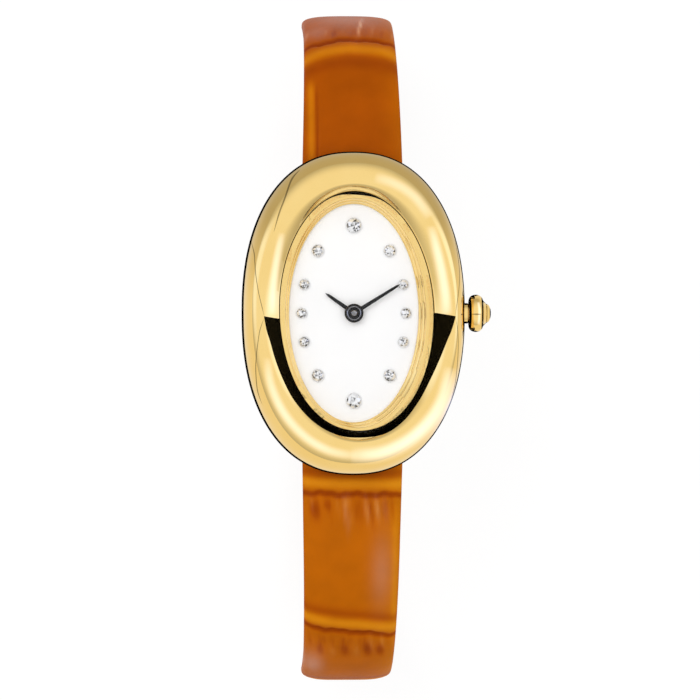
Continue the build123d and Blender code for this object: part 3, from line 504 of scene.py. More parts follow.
black = grained(
    "blackened_steel", (0.012, 0.012, 0.013), 0.22, 0.3, grain=(2.0, 3.0),
    tones=((0.008, 0.008, 0.009), (0.02, 0.02, 0.022)), gloss=(0.18, 0.3),
    more={"Specular IOR Level": 0.3},
)
bright = grained(
    "dark_polished_steel", (0.3, 0.3, 0.31), 0.16, 1.0, grain=(3.0, 3.0),
    tones=((0.22, 0.22, 0.23), (0.36, 0.36, 0.37)), gloss=(0.12, 0.24),
)
hand_tip, point_long, point_half = 0.12, 0.35, 0.02


def blade(name, length, width, low, thick, clock_angle):
    """A slim tapering hand with a ridge along its middle, set clockwise from 12."""
    turn = math.radians(90 - clock_angle)
    rings = []
    for along, share in ((0.0, 1.0), (0.3, 0.9), (0.75, 0.62), (1.0 - point_long / length, 0.45), (1.0, 0.0)):
        half = between(hand_tip, width, share) / 2 if share else point_half
        section = (
            (-half, 0.0), (half, 0.0), (half, 0.45), (0.25 * half, 1.0), (-0.25 * half, 1.0), (-half, 0.45),
        )
        rings.append([
            at(
                along * length * math.cos(turn) + across * math.sin(turn),
                along * length * math.sin(turn) - across * math.cos(turn), low + thick * high,
            )
            for across, high in section
        ])
    return skin(name, rings, closed=False, caps=True, sharp=20)


hour_low, hour_high = in_mm(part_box("hour_hand"))
minute_low, minute_high = in_mm(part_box("minute_hand"))
hour_z, hour_top, minute_z, minute_top = hour_low[2], hour_high[2], minute_low[2], minute_high[2]
hour_hub, minute_hub, pipe, seat = 0.93, 0.97, 0.72, 0.3
hour_hand = joined("hour_hand_blade", [
    blade("hour_blade", 3.55, 0.44, hour_z, hour_top - hour_z, clock_angle=305.0),
    turned("hour_boss", (
        (pipe, hour_z), (hour_hub, hour_z), (hour_hub, hour_top - 0.04), (hour_hub - 0.05, hour_top + 0.01),
        (pipe, hour_top + 0.01),
    ), sides=64),
])
dress(hour_hand, black, "hour_works", "hour_hand")
boss = (
    (0.97, -0.03), (0.9, 0.04), (0.77, 0.04), (0.75, 0.01), (0.73, 0.06), (0.68, 0.09), (0.63, 0.06),
    (0.61, -0.02), (0.54, -0.02), (0.5, 0.04), (0.34, 0.05), (0.33, 0.01), (seat, 0.01), (seat, 0.13),
    (0.25, 0.18), (0.15, 0.21), (0.05, 0.22),
)
profile = [(seat, minute_z), (minute_hub, minute_z)] + [(radius, minute_top + rise) for radius, rise in boss]
minute_hand = joined("minute_hand_blade", [
    blade("minute_blade", 5.56, 0.42, minute_z, minute_top - minute_z, clock_angle=58.0),
    turned("minute_boss", profile, sides=64, closed=False, caps=True),
])
dress(minute_hand, black, "minute_works", "minute_hand")
minute_hand.data.materials.append(bright)
for face in minute_hand.data.polygons:
    from_middle = math.hypot(face.center.x, face.center.y) / mm
    if face.center.z > minute_top * mm and (from_middle < seat or 0.62 < from_middle < 0.75):
        face.material_index = 1


# Glass
# The glass is cut from clear mineral plate and polished, with an upright edge and a
# shallow dome. It is cemented on the ledge of the case, a little proud of the gold rim.

def mix_of(tree, share, first, second):
    """A share of the second shader over the first."""
    return add_node(tree, "MixShader", {0: share, 1: first, 2: second}).outputs["Shader"]


def surface(tree, source, output="Material Output"):
    """Makes a shader the surface of a material or of the world."""
    tree.links.new(source, tree.nodes[output].inputs["Surface"])


def sum_of(tree, operation, first, second):
    """The result of a sum with two values."""
    return add_node(tree, "Math", {0: first, 1: second}, operation=operation).outputs["Value"]


clear, tree, shader = finish_of("mineral_glass", (1, 1, 1), 0.0)
see_through = add_node(tree, "BsdfTransparent", {"Color": (0.99, 0.99, 0.99, 1)})
mirror = add_node(tree, "BsdfGlossy", {"Roughness": 0.02})
fresnel = add_node(tree, "Fresnel", {"IOR": 1.2})
side_met = add_node(tree, "NewGeometry")
outside = sum_of(tree, "SUBTRACT", 1.0, side_met.outputs["Backfacing"])
gloss = sum_of(tree, "MULTIPLY", fresnel.outputs["Fac"], outside)
surface(tree, mix_of(tree, gloss, see_through.outputs["BSDF"], mirror.outputs["BSDF"]))

glass_top = in_mm(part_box("crystal"))[1][2]
glass_gap, glass_edge, glass_bevel, glass_eye, glass_steps = 0.05, 0.45, 0.12, 0.2, 12
glass_rise = glass_top - crystal_seat - glass_edge
half_glass = opening_width / 2
levels = [(0.0, 0.0), (0.0, glass_edge - glass_bevel), (glass_bevel, glass_edge)]
for step in range(1, glass_steps + 1):
    share = step / glass_steps * 0.985
    inset = glass_bevel + (half_glass - glass_gap - glass_bevel) * share
    levels.append((inset, glass_edge + (1 - (1 - share) ** 2) * glass_rise))
ovals = []
for inset, rise in levels:
    inset = min(inset, half_glass - glass_eye)
    ovals.append(oval_line(
        opening_width - 2 * (glass_gap + inset), (opening_length - 2 * glass_gap) * (1 - inset / half_glass),
        2, crystal_seat + rise, opening_shift, opening_lean, count=160,
    ))
glass = skin("watch_glass", ovals, closed=False, caps=True, sharp=35)
dress(glass, clear, "watch_body", "crystal")


# Crown and tube
# The crown is turned from brass and plated: a smooth round bun, a coned shoulder and a
# small domed cap. It pulls and turns on the steel stem, over a plated tube in the case.

def along_x(piece, height):
    """Lays a turned piece down along X at a height, its old height becoming the distance along X."""
    for corner in piece.data.vertices:
        x, y, z = corner.co
        corner.co = (z, y, height * mm - x)
    piece.data.update()
    return piece


crown_low, crown_high = in_mm(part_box("crown"))
stem_height = (crown_low[2] + crown_high[2]) / 2
crown_start, crown_end = crown_low[0], crown_high[0]
bun_radius, bun_length, bun_side = (crown_high[2] - crown_low[2]) / 2, 1.45, 1.22
shoulder, cap_radius, cap_start, crown_bore, bore_end = 1.3, 0.95, 13.74, 0.86, 13.0
bun_end, cap_foot = crown_start + bun_length, cap_start + 0.05
bun_mouth, bun_steps, cap_steps = 1.15, 25, 9
profile = [(crown_bore, bore_end), (crown_bore, crown_start + 0.02), (bun_mouth, crown_start)]
for step in range(bun_steps):
    turn = math.pi * (step + 1.2) / (bun_steps + 1.4)
    profile.append((
        between(bun_side, bun_radius, math.sin(turn) ** 0.75),
        crown_start + bun_length / 2 * (1 - math.cos(turn)),
    ))
profile += [
    (shoulder + 0.08, bun_end + 0.02), (shoulder, bun_end + 0.05), (cap_radius + 0.1, cap_start - 0.08),
    (cap_radius + 0.02, cap_start - 0.03), (cap_radius + 0.04, cap_start + 0.03),
]
for step in range(cap_steps):
    turn = math.pi / 2 * (step + 0.5) / cap_steps
    profile.append((cap_radius * math.cos(turn), between(cap_foot, crown_end, math.sin(turn))))
crown = along_x(turned("crown_bun", profile, sides=96, closed=False, caps=True, sharp=50), stem_height)
dress(crown, gold, "crown", "crown")

tube_start, tube_end, tube_radius, stem_gap = 8.6, 12.9, 0.8, 0.49
collar_radius, collar_start, collar_end = 1.05, 11.3, 11.85
tube = along_x(turned("crown_tube", (
    (stem_gap, tube_start), (tube_radius, tube_start), (tube_radius, collar_start),
    (collar_radius, collar_start), (collar_radius, collar_end - 0.08), (collar_radius - 0.06, collar_end),
    (tube_radius, collar_end), (tube_radius, tube_end), (stem_gap, tube_end),
), sides=64), stem_height)
dress(tube, gold, "watch_body", "case_tube")
paint(steel, "stem", "clutch_pinion", "setting_lever")


# Movement
# A small quartz movement fills the closed case: a plate and bridge of nickel-plated
# brass, brass wheels, a magnet rotor in its iron ring, a copper winding, a silver cell,
# a green board with a round crystal can, and a grey plastic ring that centres it all.

nickel = grained(
    "nickel_plate", (0.66, 0.64, 0.6), 0.3, 1.0, grain=(3.0, 4.0, (1, 5, 5)),
    tones=((0.56, 0.54, 0.5), (0.76, 0.74, 0.7)), gloss=(0.24, 0.38), bump=(0.1, 0.01),
)
paint(nickel, "main_plate", "train_bridge", "movement_screws", "battery_clamp", "quartz_can")
brass = grained(
    "gilt_brass", (0.83, 0.62, 0.28), 0.25, 1.0, grain=(4.0, 3.0),
    tones=((0.74, 0.52, 0.22), (0.9, 0.7, 0.36)), gloss=(0.18, 0.34),
)
paint(brass, "centre_wheel", "minute_wheel", "hour_wheel", "intermediate_wheel")
magnet = grained(
    "magnet_grey", (0.2, 0.2, 0.21), 0.4, 0.8, grain=(9.0, 4.0),
    tones=((0.15, 0.15, 0.16), (0.27, 0.27, 0.28)), bump=(0.2, 0.01),
)
paint(magnet, "rotor", "stator", "coil_core")
spacer = grained(
    "spacer_plastic", (0.55, 0.56, 0.57), 0.5, 0.0, grain=(5.0, 3.0),
    tones=((0.5, 0.51, 0.52), (0.6, 0.61, 0.62)), bump=(0.1, 0.01),
)
paint(spacer, "movement_ring")
cell = grained("cell_steel", (0.75, 0.75, 0.74), 0.2, 1.0, grain=(2.0, 3.0), gloss=(0.14, 0.28))
paint(cell, "battery")
board = grained(
    "board_green", (0.03, 0.16, 0.07), 0.35, 0.0, grain=(1.5, 3.0),
    tones=((0.02, 0.12, 0.05), (0.05, 0.22, 0.1)),
)
paint(board, "circuit_board")

copper, tree, shader = finish_of("copper_winding", (0.72, 0.28, 0.12), 0.35, 0.9)
wire_turns = {"Vector": add_node(tree, "TexCoord").outputs["Object"], "Scale": 4500.0, "Distortion": 0.4}
turns = add_node(tree, "TexWave", wire_turns, bands_direction="Y").outputs["Fac"]
tint(tree, turns, (0.5, 0.17, 0.07), (0.82, 0.36, 0.16), shader.inputs["Base Color"], 0.1, 0.9)
rough_up(tree, turns, shader, 0.5, 0.03)
paint(copper, "coil_winding")


# Strap
# Each half of the strap is orange-brown calf leather, pressed with a crocodile pattern and
# glazed: broad smooth plates parted by deep creases, with short folds fanning out below
# them. The leather is turned over a filler, so its face is crowned and its edges rounded.

strap_width_case, strap_width_bend, strap_width_end = 10.4, 9.5, 8.0
strap_thick, lining_thick, layer_gap = 2.1, 0.8, 0.2
slope = math.radians(12.0)
shoulder_bend = 17.0
buckle_low, buckle_high = in_mm(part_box("buckle_bar"))
buckle_bar_y, short_middle = (buckle_low[1] + buckle_high[1]) / 2, (buckle_low[2] + buckle_high[2]) / 2
tail_middle = short_middle - strap_thick - layer_gap
short_run, short_low_bend = 3.05, 11.0
long_run = 10.4
long_low_bend = bar_height - tail_middle - shoulder_bend * math.cos(slope) - long_run * math.sin(slope)
tail_end_y, tail_round = 16.5, 4.0
press_room = 0.05
glue_line = lining_thick - strap_thick / 2
face_line = strap_thick / 2 - press_room


def strap_half(side, first_run, low_bend, low_middle, end_y, tail, pitch=0.22):
    """One half of the strap, with stations down its middle line: (length so far, y, z, angle of fall)."""
    knee_y = bar_y + first_run * math.cos(slope)
    centre_y = knee_y - shoulder_bend * math.sin(slope)
    centre_z = bar_height - first_run * math.sin(slope) - shoulder_bend * math.cos(slope)
    floor_y = centre_y + shoulder_bend - low_bend
    stations = []

    def stretch(start, long, steps, way, ends=0):
        for step in range(steps + ends):
            so_far = long * step / steps
            y, z, turn = way(so_far)
            stations.append((start + so_far, side * y, z, turn))
        return start + long

    def bend(middle_y, middle_z, radius, first):
        def way(so_far):
            turn = first + so_far / radius
            return middle_y + radius * math.sin(turn), middle_z + radius * math.cos(turn), turn
        return way

    def down(run):
        return bar_y + run * math.cos(slope), bar_height - run * math.sin(slope), slope

    arc = shoulder_bend * (math.pi / 2 - slope)
    low_arc = low_bend * math.pi / 2
    floor_run = floor_y - side * end_y
    length = stretch(0.0, first_run, max(int(first_run / pitch), 2), down)
    length = stretch(length, arc, int(arc / pitch), bend(centre_y, centre_z, shoulder_bend, slope))
    length = stretch(length, low_arc, int(low_arc / pitch), bend(floor_y, centre_z, low_bend, math.pi / 2))
    stretch(length, floor_run, int(floor_run / pitch), lambda run: (floor_y - run, low_middle, math.pi), 1)
    far_y = centre_y + shoulder_bend - strap_thick / 2
    return {"side": side, "stations": stations, "far_y": far_y, "bend_z": low_middle + low_bend,
            "flat_z": low_middle + strap_thick / 2, "tail": tail}


def held(value, low=0.0, high=1.0):
    """A value held between two limits."""
    return min(max(value, low), high)


def half_width(strap, y, z):
    """Half the strap's width where its middle line is at y, z."""
    if z >= strap["bend_z"]:
        share = held((abs(y) - bar_y) / (strap["far_y"] - bar_y))
        return between(strap_width_case, strap_width_bend, share) / 2
    share = held((z - strap["flat_z"]) / (strap["bend_z"] - strap["flat_z"]))
    return between(strap_width_end, strap_width_bend, share) / 2


def hump(value, middle, width):
    """A smooth rise to 1 at the middle, that fades within the width."""
    return math.exp(-((value - middle) / width) ** 2)


def croc(along, across, half, pattern):
    """The pressed pattern's height in millimetres, how dark (-) or bright (+) the dye with its painted shade
    and highlights lies, and the glaze.
    """
    share = across / half
    height = 0.0
    # The edge on one side is painted lighter: a painted highlight.
    tone = pattern["tone"] + pattern["edge_highlight"] * max(share, 0) ** 4
    glaze = pattern["glaze"]
    # Each crease is painted dark along its line (painted shade), with a painted highlight band above it and a
    # darker band beyond that.
    for place, left_bend, right_bend, depth, band_off, band_wide in pattern["creases"]:
        line = place + (left_bend if share < 0 else right_bend) * abs(share) ** 1.4
        wander = 0.09 * math.sin(across * 1.9 + place) + 0.05 * math.sin(across * 4.7 + 2 * place)
        band = hump(along, line - band_off, band_wide)
        height += depth * (0.5 * band - hump(along, line + wander, 0.3))
        tone += 0.75 * band - 0.95 * hump(along, line + wander + 0.06, 0.27)
        tone -= 0.35 * hump(along, line - band_off - 2 * band_wide, band_wide)
    # Folds and streaks are painted lighter where raised and darker where sunk: painted highlight and painted
    # shade.
    for place, middle, long, wide, size, painted_light_by, shine in pattern["folds"]:
        fold = hump(along, place, long) * hump(across, middle + 0.12 * (along - place), wide)
        height += size * fold
        tone += painted_light_by * fold
        glaze += shine * fold
    for middle, start, end, wide, size, painted_light_by in pattern["streaks"]:
        streak = hump(across, middle, wide) * held((along - start) / 3) * held((end - along) / 1.5)
        height += size * streak
        tone += painted_light_by * streak
    for place, middle, long, wide, shine in pattern["shines"]:
        glaze += shine * hump(along, place, long) * hump(across, middle, wide)
    return height, tone, glaze


def strap_band(name, strap, inner, outer, pattern=None, full=4.0, inset=0.0):
    """A leather layer of a half: flat inside, with rounded edges and a crowned, patterned face."""
    side, across_steps = strap["side"], 60 if pattern else 16
    edge_drop, edge_wide = 0.09, 0.85
    rings, tones, shines = [], [], []
    for length, y, z, turn in strap["stations"]:
        half = half_width(strap, y, z) - inset
        if strap["tail"] and side * y < tail_round - tail_end_y:
            reach = min(abs(y) - (tail_end_y - tail_round), tail_round - 0.02)
            half = min(half, math.sqrt(tail_round ** 2 - reach ** 2))
        out_y, out_z = side * math.sin(turn), math.cos(turn)
        ring, marks = [], []
        for step in range(across_steps + 1):
            share = -math.cos(math.pi * step / across_steps)
            share = math.copysign(abs(share) ** edge_wide, share)
            rise = (1 - abs(share) ** full) ** (1 / full)
            crown_share = 1 - edge_drop * share * share
            off, tone, glaze = between(inner, outer, rise * crown_share), 0.0, 0.0
            if pattern:
                height, tone, glaze = croc(length, share * half, half, pattern)
                height *= min(1.0, 3 * (1 - abs(share)))
                off = min(off + height * rise, outer + press_room)
            ring.append(at(share * half, y + off * out_y, z + off * out_z))
            marks.append((0.5 + 0.5 * held(tone, -1.0), held(glaze, -1.0)))
        rings.append(ring[::side])
        tones += [tone for tone, glaze in marks[::side]]
        shines += [glaze for tone, glaze in marks[::side]]
    band = skin(name, rings, closed=False, caps=True, sharp=60)
    if pattern:
        # The tones stored here are the dye with painted shade and painted highlights in it.
        put_values(band, "dye_and_painted_light", tones)
        put_values(band, "glaze", shines)
    return band


def eye(name, y, z, low_x, high_x, outer=1.2, inner=0.72):
    """The fold of leather round a bar, as a sleeve with rounded ends."""
    soft, soft_break, fold_dye = 0.25, 0.075, 0.42
    profile = (
        (inner, low_x), (outer - soft, low_x), (outer - soft_break, low_x + soft_break),
        (outer, low_x + soft), (outer, high_x - soft), (outer - soft_break, high_x - soft_break),
        (outer - soft, high_x), (inner, high_x),
    )
    piece = along_x(turned(name, profile, sides=40, sharp=60), z)
    for corner in piece.data.vertices:
        corner.co.y += y * mm
    put_values(piece, "dye_and_painted_light", [fold_dye] * len(piece.data.vertices))
    return piece


# The leather's colour follows its dye, with painted shade in creases and dimples and painted highlights on
# bands, ridges and one edge.
leather, tree, shader = finish_of("glazed_leather", (0.45, 0.098, 0.002), 0.4, 0.0, {
    "Specular IOR Level": 0.01, "Coat IOR": 1.7, "Coat Roughness": 0.22,
})
cloudy = add_node(tree, "Mix", {"Factor": 0.25}, data_type="RGBA", blend_type="OVERLAY")
dye_and_painted_light = add_node(tree, "Attribute", attribute_name="dye_and_painted_light").outputs["Fac"]
shade = tint(tree, dye_and_painted_light, (0.24, 0.034, 0.0005), (0.68, 0.24, 0.006), cloudy.inputs["A"], 0.0, 1.0)
for place, colour in (
    (0.35, (0.355, 0.068, 0.0006)), (0.5, (0.44, 0.102, 0.001)), (0.7, (0.55, 0.162, 0.002)),
):
    shade.color_ramp.elements.new(place).color = (*colour, 1)
tint(tree, noise_on(tree, 0.35, 5.0), (0.36, 0.36, 0.36), (0.64, 0.64, 0.64), cloudy.inputs["B"])
tree.links.new(cloudy.outputs["Result"], shader.inputs["Base Color"])
pores = noise_on(tree, 3.5, 6.0)
spread(tree, pores, 0.34, 0.46, shader.inputs["Roughness"])
rough_up(tree, pores, shader, 0.22, 0.03)
glaze = add_node(tree, "Attribute", attribute_name="glaze").outputs["Fac"]
tree.links.new(glaze, shader.inputs["Coat Weight"])

short_half = strap_half(1, short_run, short_low_bend, short_middle, buckle_bar_y + 0.3, False)
long_half = strap_half(-1, long_run, long_low_bend, tail_middle, tail_end_y - 0.01, True)

# A crease has its place, bend to the left and right, depth, and its painted highlight band's offset and
# width. A fold has its place, side, length, width, height, painted light and glaze. A streak has its side,
# start, end, width, height and painted light, and a shine its place, side, length, width and glaze.
# Painted light above 0 is a painted highlight, and below 0 painted shade.
ridge, furrow = (0.3, 0.07, 0.1, 0.1), (0.35, -0.07, -0.4, 0.0)
short_pattern = {
    "tone": -0.3,
    "edge_highlight": 0.35,
    "glaze": 0.008,
    "creases": [
        (16.1, -1.3, -0.55, 0.24, 1.75, 0.95), (30.0, 0.5, -0.6, 0.18, 1.3, 0.7),
        (43.5, -0.4, 0.5, 0.18, 1.3, 0.7), (56.0, 0.3, 0.3, 0.14, 1.2, 0.6),
    ],
    "folds": [
        (18.9, 1.15, 2.2, 0.14, 0.16, 0.75, 0.9), (17.3, -1.6, 0.7, 0.3, -0.05, -0.5, 0.0),
        (17.4, 0.2, 0.7, 0.25, -0.04, -0.4, 0.0), (31.5, -2.6, 1.5, *ridge), (31.7, 0.6, 1.7, *furrow),
        (31.4, 2.4, 1.4, *ridge), (45.0, -1.2, 1.6, *furrow), (45.2, 1.7, 1.5, *ridge),
    ],
    "streaks": [(-4.25, -1.0, 10.5, 0.42, 0.1, 0.6), (-3.65, -1.0, 9.5, 0.12, -0.06, -0.5)],
    "shines": [(20.5, 0.0, 3.2, 4.2, 0.4), (17.6, -3.4, 1.4, 1.2, 0.4)],
}
long_pattern = {
    "tone": 0.05,
    "edge_highlight": 0.3,
    "glaze": 0.008,
    "creases": [
        (4.15, -0.15, 0.1, 0.22, 1.1, 0.55), (19.5, -0.75, 0.8, 0.24, 1.15, 0.6),
        (33.0, 0.4, -0.4, 0.18, 1.3, 0.7), (47.0, -0.3, 0.4, 0.18, 1.3, 0.7),
        (60.0, 0.3, 0.3, 0.14, 1.2, 0.6),
    ],
    "folds": [
        (5.9, -3.9, 0.9, 0.45, -0.1, -0.7, 0.0), (5.3, -2.6, 0.6, 0.35, -0.07, -0.5, 0.0),
        (6.3, -0.65, 1.5, 0.22, 0.1, 0.1, 0.6), (6.0, 0.5, 1.3, 0.35, -0.06, -0.25, 0.0),
        (5.9, 1.5, 1.2, 0.2, 0.09, 0.2, 0.55), (6.2, 2.0, 1.5, 0.18, -0.05, -0.3, 0.0),
        (5.8, 2.6, 1.1, 0.2, 0.09, 0.2, 0.5), (5.9, 3.4, 1.2, 0.3, -0.05, -0.2, 0.25),
        (22.3, -3.1, 0.9, *furrow), (22.4, -1.8, 0.9, 0.25, 0.05, 0.15, 0.1),
        (22.3, -0.5, 1.0, 0.4, -0.09, -0.6, 0.0), (22.4, 0.7, 0.9, 0.25, 0.05, 0.15, 0.1),
        (22.3, 1.9, 1.0, 0.38, -0.1, -0.7, 0.0), (22.5, 3.2, 0.9, 0.4, -0.1, -0.7, 0.0),
        (34.5, -1.6, 1.5, *furrow), (34.6, 1.2, 1.5, *ridge),
    ],
    "streaks": [(4.5, 5.0, 18.5, 0.35, 0.08, 0.35)],
    "shines": [(12.6, 3.1, 3.3, 1.0, 0.85), (25.0, -3.8, 2.2, 1.0, 0.65)],
}

# Small wrinkles by each crease, painted lighter where raised and darker where sunk: painted highlight and
# painted shade.
wrinkles = random.Random(7)
wrinkle_count, wrinkle_left, wrinkle_pitch = 11, -4.2, 0.84
for pattern, starts in ((short_pattern, (16.9, 30.6, 44.2, 56.5)), (long_pattern, (4.7, 20.3, 33.8, 47.6))):
    for start in starts:
        for number in range(wrinkle_count):
            size = wrinkles.choice((-1, 1)) * wrinkles.uniform(0.02, 0.05)
            long = wrinkles.uniform(0.5, 1.5)
            across = wrinkle_left + wrinkle_pitch * number + wrinkles.uniform(-0.3, 0.3)
            wide = wrinkles.uniform(0.12, 0.24)
            pattern["folds"].append((
                start + 0.7 * long, across, long, wide, size, 5 * size, max(0, 4 * size),
            ))

short_upper = strap_band("strap_12_leather", short_half, glue_line, face_line, short_pattern)
long_upper = strap_band("strap_6_leather", long_half, glue_line, face_line, long_pattern)
case_half, end_half, tongue_half = strap_width_case / 2 - 0.05, strap_width_end / 2 - 0.05, 0.67
eyes = [
    eye("bar_eye_12", bar_y, bar_height, -case_half, case_half),
    eye("bar_eye_6", -bar_y, bar_height, -case_half, case_half),
    eye("buckle_eye_left", buckle_bar_y, short_middle, -end_half, -tongue_half),
    eye("buckle_eye_right", buckle_bar_y, short_middle, tongue_half, end_half),
]
hole_width, hole_length, hole_pitch, hole_count, first_hole = 1.46, 2.24, 6.0, 3, 2.1
slot_front, cut_through = 1.22, 3.0


def tongue_slot(name):
    """A cutter for the slot that lets the tongue turn."""
    return block(
        name, (-tongue_half, buckle_bar_y - cut_through, short_middle - cut_through),
        (tongue_half, buckle_bar_y + slot_front, short_middle + cut_through),
    )


def punched_holes(name):
    """Cutters for the oval holes in the tail."""
    cutters = []
    for number in range(hole_count):
        middle_y = buckle_bar_y - first_hole - hole_pitch * number
        cutters.append(skin(name, [
            [(x, y + middle_y * mm, z) for x, y, z in oval_line(hole_width, hole_length, 6, height, count=40)]
            for height in (tail_middle - cut_through, tail_middle + cut_through)
        ], closed=False, caps=True))
    return cutters


cut(short_upper, [tongue_slot("slot_face")], sharp=60)
cut(long_upper, punched_holes("holes_face"), sharp=60)
dress(short_upper, leather, "watch_body", "strap_short_upper")
dress(long_upper, leather, "watch_body", "strap_long_upper")
for piece in eyes:
    dress(piece, leather, "watch_body")


# Lining
# The wrist side is lined with soft tan calf, undyed and matt, glued flat under the face
# and cut a hair narrower than it. The holes of the tail go through both.

suede = grained(
    "tan_lining", (0.62, 0.4, 0.22), 0.75, 0.0, grain=(2.5, 6.0),
    tones=((0.5, 0.31, 0.16), (0.7, 0.47, 0.28)), gloss=(0.65, 0.85), bump=(0.35, 0.05),
)
lining = {"inner": glue_line, "outer": -strap_thick / 2, "full": 9.0, "inset": 0.12}
short_lining = strap_band("strap_12_lining", short_half, **lining)
long_lining = strap_band("strap_6_lining", long_half, **lining)
cut(short_lining, [tongue_slot("slot_lining")], sharp=60)
cut(long_lining, punched_holes("holes_lining"), sharp=60)
dress(short_lining, suede, "watch_body", "strap_short_lining")
dress(long_lining, suede, "watch_body", "strap_long_lining")


# Keepers
# Two loops of the same glazed leather hold the tail: one is fixed under the middle of the
# watch, the other slides. Each is a folded strip with rounded edges, closed on itself.

def keeper(name, node, body):
    """A leather loop that fills its CAD box, crowned across its width."""
    low, high = in_mm(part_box(node))
    wide, deep, tall = [far - near for near, far in zip(low, high)]
    middle_y, middle_z = (low[1] + high[1]) / 2, (low[2] + high[2]) / 2
    wall, fullness, sides = 0.95, 7, 96
    edge = ((-1, 0.35), (-0.97, 0.7), (-0.85, 0.93), (-0.5, 1.0))
    face = edge + ((0.0, 1.0),) + tuple((-share, out) for share, out in reversed(edge))
    rings = []
    for share, out in face + ((1, 0.0), (-1, 0.0)):
        thin = 2 * wall * (1 - out)
        loop = [oval_at(wide - thin, tall - thin, fullness, turn) for turn in turns_of(sides)]
        rings.append([at(x, middle_y + share * deep / 2, middle_z + z) for x, z in loop])
    piece = skin(name, rings, sharp=60)
    dyes = [0.5 + 0.08 * math.sin(index * 0.37) for index in range(len(piece.data.vertices))]
    put_values(piece, "dye_and_painted_light", dyes)
    dress(piece, leather, body, node)


keeper("keeper_fixed_loop", "fixed_keeper", "watch_body")
keeper("keeper_free_loop", "free_keeper", "free_keeper")


# Buckle and bars
# The buckle's frame and tongue are pressed from brass and gold-plated like the case,
# their edges broken by tumbling. They turn on a sprung steel bar, and two more such bars
# hold the strap in the case.

def broken_edges(name, width):
    """Breaks the sharp edges of a CAD node by a small round."""
    weld = nodes[name].modifiers.new("weld", "WELD")
    weld.merge_threshold = 0.002 * mm
    bevel = nodes[name].modifiers.new("bevel", "BEVEL")
    bevel.width = width * mm
    bevel.segments = 3
    bevel.limit_method = "ANGLE"
    bevel.angle_limit = math.radians(35)
    bevel.harden_normals = True


paint(gold, "buckle_frame", "buckle_tongue")
broken_edges("buckle_frame", 0.12)
broken_edges("buckle_tongue", 0.1)
paint(steel, "spring_bar_12", "spring_bar_6", "buckle_bar")


# Floor and light
# The watch stands on a white table under a wide soft tent of light. Black and cream cards and
# glowing strips, seen only in the polished metal and held by the gold, are painted reflections and
# painted highlights: they draw its dark edges, dark lines and bright bands onto it.

def seen(tree, in_gold=1.0):
    """1 where the eye meets a surface, straight or through glass, and a share of that in the gold."""
    ray = add_node(tree, "LightPath").outputs
    straight = sum_of(tree, "MAXIMUM", ray["Is Camera Ray"], ray["Is Transmission Ray"])
    return sum_of(tree, "MAXIMUM", straight, sum_of(tree, "MULTIPLY", ray["Is Glossy Ray"], in_gold))


square = [(-1, -1, 0), (1, -1, 0), (1, 1, 0), (-1, 1, 0)]
table_reach = 1.5
table_top, tree, shader = finish_of("white_table", (0.9, 0.9, 0.9), 0.6)
tint(tree, noise_on(tree, 0.4, 3.0), (0.89, 0.89, 0.89), (0.92, 0.92, 0.92), shader.inputs["Base Color"])
lit = add_node(tree, "Emission", {"Strength": 1.03})
lit_share = sum_of(tree, "MULTIPLY", seen(tree, in_gold=0.8), 0.85)
surface(tree, mix_of(tree, lit_share, shader.outputs["BSDF"], lit.outputs["Emission"]))
table = new_piece("table_top", [(x * table_reach, y * table_reach, z) for x, y, z in square], [(0, 1, 2, 3)])
table.data.materials.append(table_top)
table.location.z = -0.01 * mm


def fade_along(tree, coordinates, axis, start, end, low, high):
    """A value that goes softly from low to high between two places along an axis."""
    split = add_node(tree, "SeparateXYZ", {"Vector": add_node(tree, "TexCoord").outputs[coordinates]})
    ends = {"Value": split.outputs[axis], "From Min": start, "From Max": end, "To Min": low, "To Max": high}
    return add_node(tree, "MapRange", ends, interpolation_type="SMOOTHSTEP").outputs["Result"]


world = bpy.data.worlds.new("tent")
bpy.context.scene.world = world
world.use_nodes = True
tree = world.node_tree
tent = tree.nodes["Background"]
tent.inputs["Color"].default_value = (1, 1, 1, 1)
climb = fade_along(tree, "Generated", "Z", start=0.05, end=0.9, low=0.56, high=1.05)
tree.links.new(climb, tent.inputs["Strength"])
plain = add_node(tree, "Background", {"Color": (1, 1, 1, 1), "Strength": 1.0})
backdrop = mix_of(tree, seen(tree), tent.outputs["Background"], plain.outputs["Background"])
surface(tree, backdrop, "World Output")

middle_point = Vector((0, 0, widest_height * mm))
key_lamp = bpy.data.lights.new("key_lamp", "AREA")
key_lamp.shape = "RECTANGLE"
key_lamp.size, key_lamp.size_y, key_lamp.energy = 0.5, 0.5, 2.2
holder = put("key_lamp", key_lamp)
holder.location = (-0.35, 0.3, 0.8)
holder.rotation_euler = (middle_point - holder.location).to_track_quat("-Z", "Y").to_euler()
holder.visible_glossy = False


def only_in_polish(piece):
    """Keeps a studio piece for the reflections in the gold alone."""
    for sight in ("camera", "diffuse", "shadow", "transmission"):
        setattr(piece, "visible_" + sight, False)


def veil(tree, share, source):
    """Makes a material show a share of a shader, with clear air for the rest."""
    air = add_node(tree, "BsdfTransparent")
    surface(tree, mix_of(tree, share, air.outputs["BSDF"], source))


